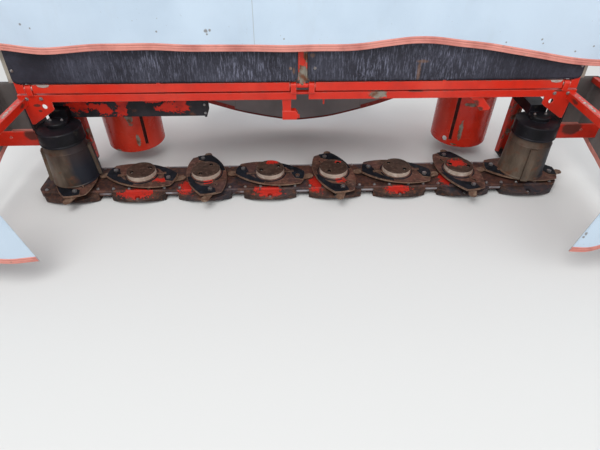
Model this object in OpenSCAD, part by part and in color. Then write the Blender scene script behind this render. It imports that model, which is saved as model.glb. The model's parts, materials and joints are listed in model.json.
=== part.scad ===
// Front mounted disc mower with raised front guard, in millimetres.
// X runs along the cutterbar, Y from the cutting side to the hitch, Z up.

/* [Cutterbar] */
// Distance between neighbouring discs
disc_pitch = 390; // [385:1:400]
// Front edge of the cutterbar ahead of the disc line
bar_front = 130; // [120:1:140]
// Rear edge of the cutterbar behind the disc line
bar_rear = 132; // [120:1:150]
// Height of the flat top of the cutterbar
bar_top = 63; // [60:1:64]
// Thickness of the cutterbar
bar_thick = 41; // [36:1:46]
// Bar length beyond the end discs
bar_end = 195; // [170:5:210]
// Width of one skid
skid_w = 315; // [280:5:330]
// Reach of the skid nose ahead of the disc line
skid_nose = 190; // [175:1:205]
// Thickness of a skid plate
skid_t = 8; // [6:1:10]

/* [Discs] */
// Length of the oval disc plate
disc_l = 430; // [420:5:440]
// Width of the oval disc plate
disc_w = 240; // [220:5:240]
// Thickness of the disc plate
disc_t = 9; // [7:1:10]
// Height of the underside of the disc plate
disc_z = 81; // [80:1:84]
// Diameter of the hub cap
hub_d = 171; // [150:1:180]
// Height of the top of the hub cap
hub_top = 127; // [118:1:135]
// Diameter of a disc spindle
spindle_d = 35; // [30:1:40]
// Distance of a blade bolt from the disc axis
blade_pivot = 172; // [168:1:178]
// Length of a blade beyond its bolt
blade_l = 100; // [90:1:105]
// Backward swing of the parked blades
blade_swing = 32; // [0:1:40]
// Width of a blade
blade_w = 45; // [40:1:50]
// Thickness of a blade
blade_t = 4; // [3:1:5]

/* [Outer drums] */
// Diameter of an outer drum at its foot
drum_d = 260; // [245:1:270]
// Diameter of an outer drum at its top
drum_top_d = 216; // [200:1:217]
// Diameter of an outer drum at the foot of its shoulder
drum_mid_d = 236; // [224:1:240]
// Height of the shoulder
drum_shoulder = 50; // [30:1:60]
// Height of the top of an outer drum
drum_top = 350; // [330:1:360]
// Diameter of the collar above an outer drum
collar_d = 240; // [234:1:250]
// Height of the collar
collar_h = 80; // [60:1:90]
// Width of the rib on an outer drum
rib_w = 38; // [30:1:45]
// Height of the rib on an outer drum
rib_h = 18; // [12:1:22]

/* [Swath drums] */
// Gap between a swath drum and the leg outside it
swath_gap = 64; // [54:1:74]
// Distance of the swath drums behind the disc line
swath_y = 425; // [420:1:440]
// Diameter of a swath drum
swath_d = 362; // [350:1:366]
// Height of the foot of a swath drum
swath_foot = 100; // [95:1:120]
// Height of the top of a swath drum
swath_top = 560; // [520:1:570]
// Depth of the two slots in a swath drum wall
swath_step = 10; // [6:1:14]
// Width of these slots
swath_slot = 20; // [15:1:26]
// Wall of the drums
drum_wall = 5; // [4:1:8]

/* [Frame] */
// Reach of the front beam beyond the end discs
beam_over = 155; // [145:1:165]
// Gap between the two halves of the front beam
beam_gap = 68; // [60:1:80]
// Height of the underside of the front beam
beam_z = 565; // [562:1:570]
// Height of the front beam section
beam_h = 40; // [36:1:42]
// Depth of the front beam section
beam_d = 60; // [50:1:70]
// Wall of the front beam section
beam_wall = 5; // [4:1:8]
// Reach of the main tube beyond the end discs
main_over = 60; // [50:1:75]
// Distance of the main tube behind the disc line
main_y = 200; // [200:1:205]
// Height and depth of the main tube
main_s = 120; // [115:1:122]
// Height of the underside of the main tube
main_z = 640; // [638:1:645]
// Wall of the main tube
main_wall = 8; // [6:1:10]

/* [Front guard] */
// Depth of the folding guard from its hinge
guard_depth = 715; // [690:5:720]
// Height of the guard hinge
hinge_z = 640; // [638:1:642]
// Backward lean of the raised guard
guard_lean = 6; // [4:0.5:7]
// Drop of the front rail below the guard panel
rail_drop = 90; // [80:1:95]
// Diameter of the front rail
rail_d = 32; // [26:1:34]
// Half length of the front rail
rail_half = 1715; // [1690:1:1720]
// Mean length of the front curtain
curtain_l = 510; // [480:1:515]
// Thickness of the canvas
canvas_t = 4; // [3:0.5:5]

/* [Side guards] */
// Distance of the side rails from the middle
side_x = 1740; // [1740:1:1760]
// Section of the side guard tubes
side_s = 30; // [25:1:35]
// Reach of the side guards ahead of the disc line
side_front = 800; // [790:1:820]
// Reach of the side guards behind the disc line
side_rear = 220; // [200:1:240]
// Height of the hem of the side curtains
side_hem = 150; // [120:1:180]

/* [Hitch] */
// Distance of the lower link pins behind the disc line
hitch_y = 1260; // [1240:5:1300]
// Height of the lower link pins when parked
hitch_z = 600; // [590:1:610]
// Spacing of the lower link balls
hitch_spacing = 825; // [815:1:835]
// Diameter of the lower link pins
lower_pin_d = 28; // [26:1:32]
// Height of the top link bore above the lower pins
mast_h = 610; // [600:1:620]
// Diameter of the top link bore
top_pin_d = 25.5; // [25:0.5:32]
// Diameter of the input shaft
pto_d = 34.9; // [30:0.1:40]

/* [Stands] */
// Height and width of the square of a parking stand leg
stand_s = 50; // [40:1:52]
// Width of a parking stand foot
stand_foot = 150; // [100:5:180]

/* [Hidden] */
$fn = 48;

red = [0.80, 0.13, 0.07];
black = [0.11, 0.11, 0.13];
rust = [0.35, 0.22, 0.17];
steel = [0.43, 0.38, 0.33];
canvas_blue = [0.74, 0.80, 0.86];
canvas_grey = [0.47, 0.47, 0.48];
rubber_grey = [0.22, 0.22, 0.26];

// Small distances shared by the fits and seats
fit = 0.05;
seat = 0.3;

// Discs stand in one row, the first on the left, and neighbours turn a
// quarter apart in opposite directions
disc_n = 8;
park_turn = 14;
end_x = disc_pitch * (disc_n - 1) / 2;
beam_half = end_x + beam_over;
main_half = end_x + main_over;
function disc_x(i) = disc_pitch * (i - (disc_n + 1) / 2);
function disc_turn(i) = i % 2 == 0 ? -park_turn : park_turn - 90;
function disc_hand(i) = i % 2 == 0 ? 1 : -1;
cap_turn = [0, 25, 60, 20, 55, 140, 165, 0];

bar_half = end_x + bar_end;
bar_z = bar_top - bar_thick;
bar_corner = 50;
boss_r = 66;
boss_h = 8;

disc_r = disc_l / 2;
disc_side = disc_w / 2;
tip_at = 190;
tip_half = 70;
side_drop = disc_side - tip_half;
side_arc_r = (tip_at * tip_at + side_drop * side_drop) / (2 * side_drop);
disc_top = disc_z + disc_t;
disc_edge_t = 5;
dome_r = 105;
hub_r = hub_d / 2;
blade_gap = 5;
blade_z = disc_z - blade_t - blade_gap;
bolt_head = 3;

drum_foot = disc_top + seat;
drum_r = drum_d / 2;
drum_top_r = drum_top_d / 2;
drum_mid_r = drum_mid_d / 2;
drum_mid = drum_top - drum_shoulder;
drum_cap = 8;
drum_shaft_d = 50;
drum_flange_r = hub_r - 20;
drum_flange_z = hub_top - 2 + seat;
collar_r = collar_d / 2;
collar_wall = 6;
collar_z = drum_top - 8;
collar_top = collar_z + collar_h;
neck_r = 60;
neck_top = collar_top + 36;
shaft_top = neck_top - 8;

swath_r = swath_d / 2;
swath_shaft_d = 50;
swath_seam = 54;
swath_ring = 40;

arm_w = 100;
arm_wall = 6;
arm_bottom = collar_top + 18;
arm_top = arm_bottom + 60;

housing_y = 90;
housing_d = 105;
housing_z = 430;
housing_h = 130;
housing_inner = 548;
housing_in = 110;

strut_w = 70;
strut_d = 40;
strut_wall = 10;
strut_y = main_y + main_s - strut_d;
strut_in = 45;
strut_x = main_half - strut_in;
swath_x = strut_x - strut_w / 2 - swath_gap - swath_r;
foot_t = 14;
foot_z = bar_z + 8;

beam_top = beam_z + beam_h;
gusset_w = 155;
bracket_places = [60, 520, 960, beam_half - 120];
main_top = main_z + main_s;
main_rear = main_y + main_s;

hinge_y = 10;
hinge_pin_d = 18;
guard_half = beam_half - 10;
ear_w = 30;
ear_r = 20;
ear_gap = 6;
ear_places = [beam_gap / 2, guard_half - 80];
sheet_in = 27;
sheet_foot = 27;
sheet_t = 5;
sheet_corner = 25;
tube_s = 24;
bar_low = 25;
bar_high = 20;
rail_y = hinge_y + guard_depth * sin(guard_lean) - rail_drop * cos(guard_lean);
rail_z = hinge_z + guard_depth * cos(guard_lean) + rail_drop * sin(guard_lean);
hem = [[-1, -20], [-0.86, 0], [-0.76, 20], [-0.69, 17], [-0.57, 4], [-0.42, 6], [-0.31, 12],
       [0.04, 17], [0.17, 10], [0.25, -5], [0.32, -19], [0.39, -18], [0.47, -1], [0.61, 30],
       [0.77, 78], [0.89, 102], [1, 104]];

side_out = side_x + side_s;
side_z = 555;
low_bar_z = 290;
low_bar_h = 90;

rear_y = 700;
rear_half = 900;
rear_z = 640;
rear_rod_r = 18;

gear_half = 110;
gear_y = 170;
gear_rear = 480;
gear_h = 170;
shaft_z = main_top + 85;
shoulder = 5;
tube_y = gear_y + 45;
box_x = [-740, -620];

mast_x = gear_half + 30;
mast_t = 12;
mast_pin_y = main_rear + 10;
mast_pin_z = main_top + 220;
mast_pin_r = 15;

headstock_y = hitch_y - 80;
cross_s = 80;
cross_z = hitch_z - 20;
cross_top = cross_z + cross_s;
yoke_z = hitch_z + mast_h - 125;
yoke_h = 95;
yoke_half = 90;
yoke_d = 72;
ear_in = 26;
ear_t = 12;
pin_half = 30;
pin_x = hitch_spacing / 2;
cheek_t = 12;
cheek_r = 38;
sleeve_x = pin_x + 77;
sleeve_wall = 6;
sleeve_drop = 110;
sleeve_rise = 50;
link_x = 260;
spring_x = 800;

// The origin lies under the middle of the whole machine
front_end = -side_front - seat - canvas_t;
rear_end = hitch_y + cheek_r;
mid_y = (front_end + rear_end) / 2;

module placed() {
    translate([0, -mid_y, 0]) children();
}

module block(x0, x1, y0, y1, z0, z1) {
    translate([x0, y0, z0]) cube([x1 - x0, y1 - y0, z1 - z0]);
}

module scale_x(side) {
    if (side < 0) mirror([1, 0, 0]) children();
    else children();
}

module rod_x(x0, x1, y, z, r) {
    translate([x0, y, z]) rotate([0, 90, 0]) cylinder(h = x1 - x0, r = r);
}

module rod_y(y0, y1, x, z, r) {
    translate([x, y0, z]) rotate([-90, 0, 0]) cylinder(h = y1 - y0, r = r);
}

// A side view outline, in Y and Z, given its width from x0 to x1
module along_x(x0, x1) {
    translate([x0, 0, 0]) rotate([90, 0, 90]) linear_extrude(height = x1 - x0) children();
}

// A front view outline, in X and Z, given its depth from y0 to y1
module along_y(y0, y1) {
    translate([0, y1, 0]) rotate([90, 0, 0]) linear_extrude(height = y1 - y0) children();
}

module rounded(x0, x1, y0, y1, r) {
    translate([x0 + r, y0]) square([x1 - x0 - 2 * r, y1 - y0]);
    translate([x0, y0 + r]) square([x1 - x0, y1 - y0 - 2 * r]);
    for (x = [x0 + r, x1 - r], y = [y0 + r, y1 - r]) translate([x, y]) circle(r = r);
}

// Frame pieces

module beam_half_section() {
    along_x(beam_gap / 2, beam_half)
        difference() {
            translate([0, beam_z]) square([beam_d, beam_h]);
            translate([beam_wall, beam_z + beam_wall]) square([beam_d, beam_h - 2 * beam_wall]);
        }
}

// Triangular plate that hangs under the end of the front beam
module end_gusset() {
    top_out = beam_half - 14;
    top_in = top_out - gusset_w;
    tip_z = beam_z - 130;
    along_y(0, 6)
        difference() {
            polygon([[top_in, beam_z + 1], [top_out, beam_z + 1], [top_out - 5, tip_z],
                     [top_out - 20, tip_z], [top_in + 16, beam_z - 55], [top_in, beam_z - 42]]);
            translate([top_in + 46, beam_z - 26]) circle(d = 27);
        }
}

// Ear of the guard hinge, rounded over its pin
module hinge_ear(x) {
    along_x(x, x + ear_w)
        difference() {
            union() {
                translate([hinge_y - ear_r, beam_top - 1])
                    square([2 * ear_r, hinge_z - beam_top + 1]);
                translate([hinge_y, hinge_z]) circle(r = ear_r);
            }
            translate([hinge_y, hinge_z]) circle(d = hinge_pin_d + 2 * fit);
        }
}

// Plate between the front beam and the main tube
module beam_bracket(x) {
    along_x(x, x + 10)
        difference() {
            polygon([[beam_d - 20, beam_z + 1], [beam_d - 20, beam_top - 1],
                     [main_y, main_z + 70], [main_y, main_z]]);
            translate([(beam_d + main_y) / 2, (beam_z + main_z) / 2 + 26]) circle(r = 13);
        }
}

// Strap that hangs under the left half and ends in a bent box
module centre_hanger() {
    x0 = -beam_gap / 2 - 78;
    foot = beam_z - 124;
    along_y(8, 14)
        polygon([[x0, beam_z + 1], [x0 + 50, beam_z + 1], [x0 + 49, foot + 48], [x0 + 3, foot + 48]]);
    difference() {
        along_y(6, 46)
            polygon([[x0, foot], [x0 + 81, foot], [x0 + 89, foot + 29],
                     [x0 + 76, foot + 52], [x0, foot + 52]]);
        block(x0 + 6, x0 + 68, 12, 47, foot + 6, foot + 46);
    }
    block(x0 + 80, x0 + 98, 30, 36, foot - 4, foot + 20);
}

// Bent and chipped flat that hangs in front of the right swath drum
module bent_bracket() {
    translate([swath_x - 170, 0, beam_z]) {
        along_y(8, 14)
            polygon([[0, 1], [73, 1], [137, -68], [128, -81], [78, -83], [32, -25]]);
        along_y(14, 32)
            polygon([[0, 1], [7, 1], [38, -25], [84, -83], [78, -83], [32, -25]]);
    }
}

module front_beam() {
    color(red) placed() {
        for (side = [-1, 1]) scale_x(side) {
            beam_half_section();
            end_gusset();
            for (x = ear_places) hinge_ear(x);
            for (x = bracket_places) beam_bracket(x);
        }
        block(-beam_gap / 2 - 25, beam_gap / 2 + 25, 15, beam_d - 15,
              beam_top - beam_wall - 12, beam_top - beam_wall);
        centre_hanger();
        bent_bracket();
        translate([beam_gap / 2 + 85, beam_d / 2, beam_z - 41]) cylinder(h = 43, r = 5);
    }
}

module main_tube() {
    color(red) placed() {
        difference() {
            block(-main_half, main_half, main_y, main_rear, main_z, main_top);
            block(-main_half + main_wall, main_half - main_wall, main_y + main_wall,
                  main_rear - main_wall, main_z + main_wall, main_top - main_wall);
        }
    }
}

// Channel legs from the main tube down to the feet behind the cutterbar
module end_struts() {
    foot_top = foot_z + foot_t;
    rear = strut_y + strut_d;
    color(red) placed()
        for (side = [-1, 1]) scale_x(side) {
            for (x = [strut_x - strut_w / 2, strut_x + strut_w / 2 - strut_wall])
                along_x(x, x + strut_wall)
                    polygon([[strut_y, foot_z], [rear, foot_z], [rear, main_z], [strut_y, main_z]]);
            block(strut_x - strut_w / 2, strut_x + strut_w / 2,
                  rear - strut_wall, rear, foot_z, main_z);
            block(strut_x - strut_w / 2, strut_x + strut_w / 2,
                  bar_rear, rear, foot_z, foot_top);
        }
}

// Cross section of the cutterbar with its bevelled lips
module bar_section() {
    polygon([[-bar_front, bar_z + 8], [-bar_front + 12, bar_z], [bar_rear - 8, bar_z],
             [bar_rear, bar_z + 8], [bar_rear, bar_top - 6], [bar_rear - 6, bar_top],
             [-bar_front + 6, bar_top], [-bar_front, bar_top - 6]]);
}

module cutterbar() {
    color(rust) placed()
        difference() {
            union() {
                intersection() {
                    along_x(-bar_half - 1, bar_half + 1) bar_section();
                    linear_extrude(height = bar_top + 1)
                        rounded(-bar_half, bar_half, -bar_front, bar_rear, bar_corner);
                }
                for (i = [1 : disc_n])
                    translate([disc_x(i), 0, bar_top - 1])
                        cylinder(h = boss_h + 1, r1 = boss_r + 4, r2 = boss_r - 4);
            }
            for (i = [1 : disc_n])
                translate([disc_x(i), 0, bar_z + 8])
                    cylinder(h = bar_top, d = spindle_d + 2 * fit);
        }
}

// Curved wear plate under one disc, held at its nose and tail
module skid() {
    bulge = skid_nose - bar_front - 13;
    nose_arc = (skid_w * skid_w / 4 + bulge * bulge) / (2 * bulge);
    hold = 30;
    difference() {
        intersection() {
            along_x(-skid_w / 2, skid_w / 2)
                polygon([
                    [-bar_front, bar_top - 8],
                    [-skid_nose + 30, bar_top - 16],
                    [-skid_nose + 8, bar_z + 16],
                    [-skid_nose, bar_z + 8],
                    [-skid_nose + 6, bar_z],
                    [-skid_nose + 40, 6],
                    [-skid_nose + 75, 0],
                    [bar_rear - 10, 0],
                    [bar_rear + 14, 6],
                    [bar_rear + 14, bar_z - 2],
                    [bar_rear - 8, bar_z],
                    [bar_rear - 8 - hold, bar_z],
                    [bar_rear - 8 - hold, skid_t],
                    [-bar_front + 12 + hold, skid_t],
                    [-bar_front + 12 + hold, bar_z],
                    [-bar_front + 12, bar_z],
                    [-bar_front, bar_z + 8]
                ]);
            translate([0, nose_arc - skid_nose, -1]) cylinder(h = bar_top + 2, r = nose_arc, $fn = 144);
        }
        translate([0, 20 - skid_nose, bar_z + 8]) cylinder(h = bar_top, r = 15);
    }
}

module skids() {
    color(rust) placed()
        for (i = [1 : disc_n]) translate([disc_x(i), 0, 0]) skid();
}

// Discs

// Oval with two long side arcs and blunt round tips
module disc_outline(inset) {
    intersection() {
        circle(r = disc_r - inset, $fn = 144);
        translate([0, disc_side - side_arc_r]) circle(r = side_arc_r - inset, $fn = 288);
        translate([0, side_arc_r - disc_side]) circle(r = side_arc_r - inset, $fn = 288);
    }
}

module disc_plate() {
    intersection() {
        translate([0, 0, disc_z - 1]) linear_extrude(height = disc_t + 2) disc_outline(0);
        rotate_extrude($fn = 96)
            polygon([[0, disc_z], [disc_r + 5, disc_z], [disc_r + 5, disc_z + disc_edge_t],
                     [dome_r, disc_top], [0, disc_top]]);
    }
}

// Raised strip that runs from a blade bolt back along the trailing side
module carrier() {
    translate([0, 0, disc_z + 2])
        linear_extrude(height = disc_t)
            intersection() {
                disc_outline(3);
                polygon([[5, disc_r], [5, 96], [84, 72], [117, 48], [140, 5], [blade_pivot - 8, -28],
                         [disc_r + 10, -28], [disc_r + 10, disc_r]]);
            }
}

module blade() {
    corner = 14;
    half = blade_w / 2;
    translate([blade_pivot, 0, 0]) {
        rotate([0, 0, blade_swing])
            translate([0, 0, blade_z]) linear_extrude(height = blade_t) {
                circle(r = half);
                polygon([[0, -half], [blade_l - corner, -half], [blade_l, corner - half],
                         [blade_l, half - corner], [blade_l - corner, half], [0, half]]);
            }
        translate([0, 0, blade_z - bolt_head])
            cylinder(h = disc_top + 4 - blade_z + bolt_head, r = 12);
        translate([0, 0, disc_top]) cylinder(h = 11, r = 14, $fn = 6);
        translate([0, 0, disc_top]) cylinder(h = 15, r = 7);
    }
}

// Spindle, flared foot and cap of the hub in one turned profile
module hub() {
    rotate_extrude($fn = 96)
        polygon([[0, bar_z + 10], [spindle_d / 2, bar_z + 10], [spindle_d / 2, disc_z + 1],
                 [hub_r + 14, disc_z + 1], [hub_r + 14, disc_top], [hub_r, disc_top + 7],
                 [hub_r, hub_top - 4], [hub_r - 4, hub_top], [hub_r - 12, hub_top],
                 [hub_r - 15, hub_top - 2], [0, hub_top - 2]]);
}

module disc_body(i) {
    translate([disc_x(i), 0, 0]) {
        difference() {
            hub();
            rotate([0, 0, cap_turn[i - 1]])
                for (s = [-1, 1])
                    translate([s * 55, 0, hub_top - 14]) cylinder(h = 20, d = 25);
        }
        rotate([0, 0, disc_turn(i)])
            difference() {
                union() {
                    disc_plate();
                    for (a = [0, 180]) rotate([0, 0, a]) {
                        lug();
                        if (disc_hand(i) > 0) wing();
                        else mirror([0, 1, 0]) wing();
                    }
                }
                if (i == 1 || i == disc_n)
                    translate([0, 0, disc_top]) cylinder(h = 20, r = drum_r + 4);
            }
    }
}

// Everything that one half of a disc plate carries
module wing() {
    carrier();
    blade();
}

// Stop lug beside the hub
module lug() {
    rotate([0, 0, 18]) block(hub_r, hub_r + 58, -7, 7, disc_top - 2, disc_top + 7);
}

module disc_node(i) {
    color(rust) placed() disc_body(i);
}

module disc_1() { disc_node(1); }
module disc_2() { disc_node(2); }
module disc_3() { disc_node(3); }
module disc_4() { disc_node(4); }
module disc_5() { disc_node(5); }
module disc_6() { disc_node(6); }
module disc_7() { disc_node(7); }
module disc_8() { disc_node(8); }

// Drums

// Tapered drum with two welded ribs, bolted down on its disc hub
module outer_drum(side) {
    turn = disc_turn(side < 0 ? 1 : disc_n) + 90;
    color(steel) placed() translate([side * end_x, 0, 0]) {
        difference() {
            union() {
                rotate_extrude($fn = 96)
                    polygon([[0, drum_foot], [drum_r + 2, drum_foot], [drum_r + 2, drum_foot + 6],
                             [drum_r - 1, drum_foot + 9], [drum_mid_r, drum_mid - 3],
                             [drum_mid_r + 2, drum_mid], [drum_mid_r, drum_mid + 3],
                             [drum_top_r, drum_top - 4], [drum_top_r - 4, drum_top], [0, drum_top]]);
                for (a = [0, 180]) rotate([0, 0, turn + a])
                    intersection() {
                        block(0, drum_d, -rib_w / 2, rib_w / 2, drum_foot + 2, drum_mid - 4);
                        translate([0, 0, drum_foot])
                            cylinder(h = drum_mid - drum_foot, r1 = drum_r + rib_h,
                                     r2 = drum_mid_r + rib_h, $fn = 96);
                    }
            }
            rotate_extrude($fn = 96)
                polygon([[0, drum_foot - 1], [drum_r - drum_wall, drum_foot - 1],
                         [drum_mid_r - drum_wall, drum_mid], [drum_top_r - drum_wall, drum_top - drum_cap],
                         [0, drum_top - drum_cap]]);
        }
        translate([0, 0, drum_flange_z]) cylinder(h = shaft_top - drum_flange_z, d = drum_shaft_d);
        translate([0, 0, drum_flange_z]) cylinder(h = 8, r = drum_flange_r);
    }
}

module outer_drum_left() { outer_drum(-1); }
module outer_drum_right() { outer_drum(1); }

// Fixed collar over the drum, with its neck and the arm that carries it
module drum_hood(side, arm_rear) {
    bore = drum_shaft_d / 2 + fit;
    inside = collar_r - collar_wall;
    color(black) placed() translate([side * end_x, 0, 0]) {
        rotate_extrude($fn = 96)
            polygon([[inside, collar_z], [collar_r + 3, collar_z], [collar_r + 3, collar_z + 6],
                     [collar_r, collar_z + 10], [collar_r, collar_top - 4], [collar_r - 4, collar_top],
                     [neck_r, collar_top + 14], [neck_r, neck_top - 4], [neck_r - 4, neck_top],
                     [0, neck_top], [0, neck_top - 4], [bore, neck_top - 4],
                     [bore, collar_top - 8], [inside, collar_top - 8]]);
        difference() {
            block(-arm_w / 2, arm_w / 2, neck_r - 25, arm_rear, arm_bottom, arm_top);
            block(arm_wall - arm_w / 2, arm_w / 2 - arm_wall, neck_r + 2, arm_rear + 1,
                  arm_bottom - 1, arm_top - arm_wall);
        }
    }
}

module drum_hood_left() { drum_hood(-1, housing_y); }
module drum_hood_right() { drum_hood(1, strut_y); }

// Sheet steel drum, open below, with a pressed slot on either side
module swath_drum(side) {
    wall = drum_wall;
    slot_in = swath_r - swath_step;
    color(red) placed() translate([side * swath_x, swath_y, 0]) {
        rotate([0, 0, -90 - side * (90 - swath_seam)])
            difference() {
                union() {
                    rotate_extrude($fn = 96)
                        polygon([[swath_r - wall, swath_foot], [swath_r - 2, swath_foot],
                                 [swath_r, swath_foot + 3], [swath_r, swath_top - 7],
                                 [swath_r - 7, swath_top], [0, swath_top], [0, swath_top - wall],
                                 [swath_r - wall, swath_top - wall]]);
                    for (a = [0, 180]) rotate([0, 0, a])
                        block(slot_in - wall, swath_r - 2, -swath_slot / 2 - wall, swath_slot / 2 + wall,
                              swath_foot + swath_ring - wall, swath_top - 8);
                }
                for (a = [0, 180]) rotate([0, 0, a])
                    block(slot_in, swath_r + 1, -swath_slot / 2, swath_slot / 2,
                          swath_foot + swath_ring, swath_top + 1);
                if (side > 0) rotate([0, 0, -12])
                    rod_x(swath_r - 20, swath_r + 10, 0, swath_foot + swath_ring, 17);
            }
        translate([0, 0, swath_top - wall - 1]) cylinder(h = 96, d = swath_shaft_d);
        for (a = [0 : 60 : 300]) rotate([0, 0, a + 30])
            translate([swath_r - 60, 0, swath_top - 1]) cylinder(h = 7, r = 8, $fn = 6);
    }
}

module swath_drum_left() { swath_drum(-1); }
module swath_drum_right() { swath_drum(1); }

// Bearing heads that carry the swath drums behind the main tube
module drum_heads() {
    plate_top = main_z + 16;
    color(red) placed()
        for (side = [-1, 1]) scale_x(side)
            difference() {
                union() {
                    translate([0, 0, main_z]) linear_extrude(height = 16) {
                        translate([swath_x - 85, main_rear]) square([170, swath_y - main_rear]);
                        translate([swath_x, swath_y]) circle(r = 85);
                    }
                    for (x = [swath_x - 75, swath_x + 65])
                        along_x(x, x + 10)
                            polygon([[main_rear, plate_top - 1], [main_rear, main_top - 20],
                                     [swath_y + 20, plate_top + 15], [swath_y + 20, plate_top - 1]]);
                    translate([swath_x, swath_y, swath_top + 15])
                        cylinder(h = main_z - swath_top - 14, r1 = 62, r2 = 75);
                    translate([swath_x, swath_y, plate_top - 1]) cylinder(h = 35, r = 50);
                }
                translate([swath_x, swath_y, swath_top])
                    cylinder(h = 93, d = swath_shaft_d + 2 * fit);
            }
}

// Drive line

module drive_housing() {
    r = housing_h / 2;
    x_out = beam_half - housing_in - r;
    color(black) placed() {
        along_y(housing_y, housing_y + housing_d) {
            translate([-x_out, housing_z + r]) circle(r = r);
            translate([-x_out, housing_z]) square([x_out - housing_inner, housing_h]);
        }
        block(-housing_inner - 12, -housing_inner, housing_y - 5, housing_y + housing_d,
              housing_z - 5, housing_z + housing_h);
    }
}

// Drop box in front of the main tube and the tube to the gearbox
module lateral_drive() {
    foot = housing_z + housing_h;
    back = main_y - 4;
    over = main_top + 4;
    color(black) placed() {
        rod_x(box_x[1] - 10, -gear_half, tube_y, shaft_z, 40);
        rod_x(box_x[1], box_x[1] + 14, tube_y, shaft_z, 58);
        rod_x(-gear_half - 14, -gear_half, tube_y, shaft_z, 54);
        along_x(box_x[0], box_x[1]) {
            polygon([[housing_y, foot], [back, foot], [back, over], [tube_y + 60, over],
                     [tube_y + 60, shaft_z], [tube_y - 50, shaft_z + 30], [housing_y, foot + 170]]);
            translate([tube_y, shaft_z]) circle(r = 60);
        }
    }
}

// Cast gearbox with feet, bearing bells and stiffening ribs
module gearbox() {
    h = gear_h;
    color(red) placed()
        difference() {
            union() {
                block(-gear_half + 20, gear_half - 20, gear_y + 10, gear_rear - 30,
                      main_top, main_top + h - 15);
                block(-gear_half, gear_half, main_y + 5, main_rear - 5, main_top, main_top + 14);
                rod_x(-gear_half, gear_half, tube_y, shaft_z, 50);
                rod_y(gear_rear - 60, gear_rear, 0, shaft_z, 68);
                rod_y(gear_rear - 14, gear_rear, 0, shaft_z, 80);
                rod_y(gear_y, gear_y + 20, 0, shaft_z, 60);
                for (x = [-60, -4, 52])
                    block(x, x + 8, gear_y + 25, gear_rear - 45, main_top + 10, main_top + h);
                translate([45, gear_y + 180, main_top + 10]) cylinder(h = h - 2, r = 16, $fn = 6);
            }
            rod_y(gear_rear - 70, gear_rear + 1, 0, shaft_z, pto_d / 2 + 3 + fit);
        }
}

module pto_stub() {
    color(steel) placed() {
        rod_y(gear_rear - 68, gear_rear + shoulder, 0, shaft_z, pto_d / 2 + 3);
        rod_y(gear_rear, gear_rear + shoulder + 100, 0, shaft_z, pto_d / 2);
    }
}

// Flared guard round the input shaft
module pto_guard() {
    color(black) placed()
        translate([0, gear_rear, shaft_z]) rotate([-90, 0, 0])
            rotate_extrude($fn = 96)
                polygon([[74, 0], [82, 0], [82, 10], [76, 20], [84, 126], [88, 130], [84, 130],
                         [80, 126], [72, 22], [74, 8]]);
}

// Carrying frame

module mast() {
    foot_rear = main_rear - 4;
    color(red) placed() {
        for (side = [-1, 1]) scale_x(side)
            along_x(mast_x, mast_x + mast_t)
                difference() {
                    union() {
                        polygon([[tube_y + 45, main_top], [foot_rear, main_top],
                                 [mast_pin_y + 28, mast_pin_z], [mast_pin_y - 28, mast_pin_z]]);
                        translate([mast_pin_y, mast_pin_z]) circle(r = 28);
                    }
                    translate([mast_pin_y - 28, main_top + 75]) circle(r = 15);
                }
        rod_x(-mast_x - mast_t - 8, mast_x + mast_t + 8, mast_pin_y, mast_pin_z, mast_pin_r);
    }
}

// Lower links with eyes and clevises, and the top link from the mast
module link_arms() {
    front = main_rear;
    rear = headstock_y - cross_s / 2;
    a = [front + 45, main_top - 36];
    b = [rear - 45, cross_top - 10];
    c = [mast_pin_y, mast_pin_z];
    d = [headstock_y - yoke_d / 2, yoke_z + 40];
    color(red) placed() {
        for (side = [-1, 1]) scale_x(side) {
            along_x(link_x - 25, link_x + 25) {
                polygon([a + [0, -22], a + [0, 22], b + [0, 22], b + [0, -22]]);
                for (p = [a, b]) translate(p) circle(r = 31);
            }
            for (x = [link_x - 37, link_x + 25])
                along_x(x, x + 12) {
                    polygon([[front, a[1] - 34], [front, a[1] + 34], a + [0, 28], a + [0, -28]]);
                    polygon([[rear, b[1] - 60], [rear, b[1] + 10], b + [0, 28], b + [0, -28]]);
                    for (p = [a, b]) translate(p) circle(r = 28);
                }
            for (p = [a, b]) rod_x(link_x - 47, link_x + 47, p[0], p[1], 14);
        }
        along_x(-26, 26)
            difference() {
                union() {
                    polygon([c + [0, -24], c + [0, 24], d + [0, 22], d + [0, -22]]);
                    translate(c) circle(r = 33);
                }
                translate(c) circle(r = mast_pin_r + fit);
            }
    }
}

// Tension springs with close coils, from the main tube up to the headstock
module springs() {
    wire = 9;
    coils = 34;
    coil_r = 22;
    gap = 11;
    foot = [spring_x, main_rear - 35, main_top + 34];
    head = [yoke_half - 14, headstock_y - yoke_d / 2 - 24, yoke_z + 30];
    v = head - foot;
    len = norm(v);
    coil_l = coils * gap;
    start = (len - coil_l) / 2;
    color(black) placed()
        for (side = [-1, 1]) scale_x(side) {
            translate(foot) rotate([0, acos(v[2] / len), atan2(v[1], v[0])]) {
                cylinder(h = len, r = wire);
                translate([0, 0, start])
                    rotate_extrude()
                        polygon(concat([[0, 0]], [for (k = [0 : 2 * coils])
                            [coil_r - (k % 2 == 0 ? wire / 2 : 0), k * gap / 2]], [[0, coil_l]]));
                for (z = [start - 14, start + coil_l]) translate([0, 0, z]) cylinder(h = 14, r = 15);
            }
            block(spring_x - 10, spring_x + 10, main_rear - 60, main_rear - 10, main_top, main_top + 50);
            block(yoke_half - 24, yoke_half - 4, headstock_y - yoke_d / 2 - 44,
                  headstock_y - yoke_d / 2, yoke_z + 12, yoke_z + 48);
        }
}

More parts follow.
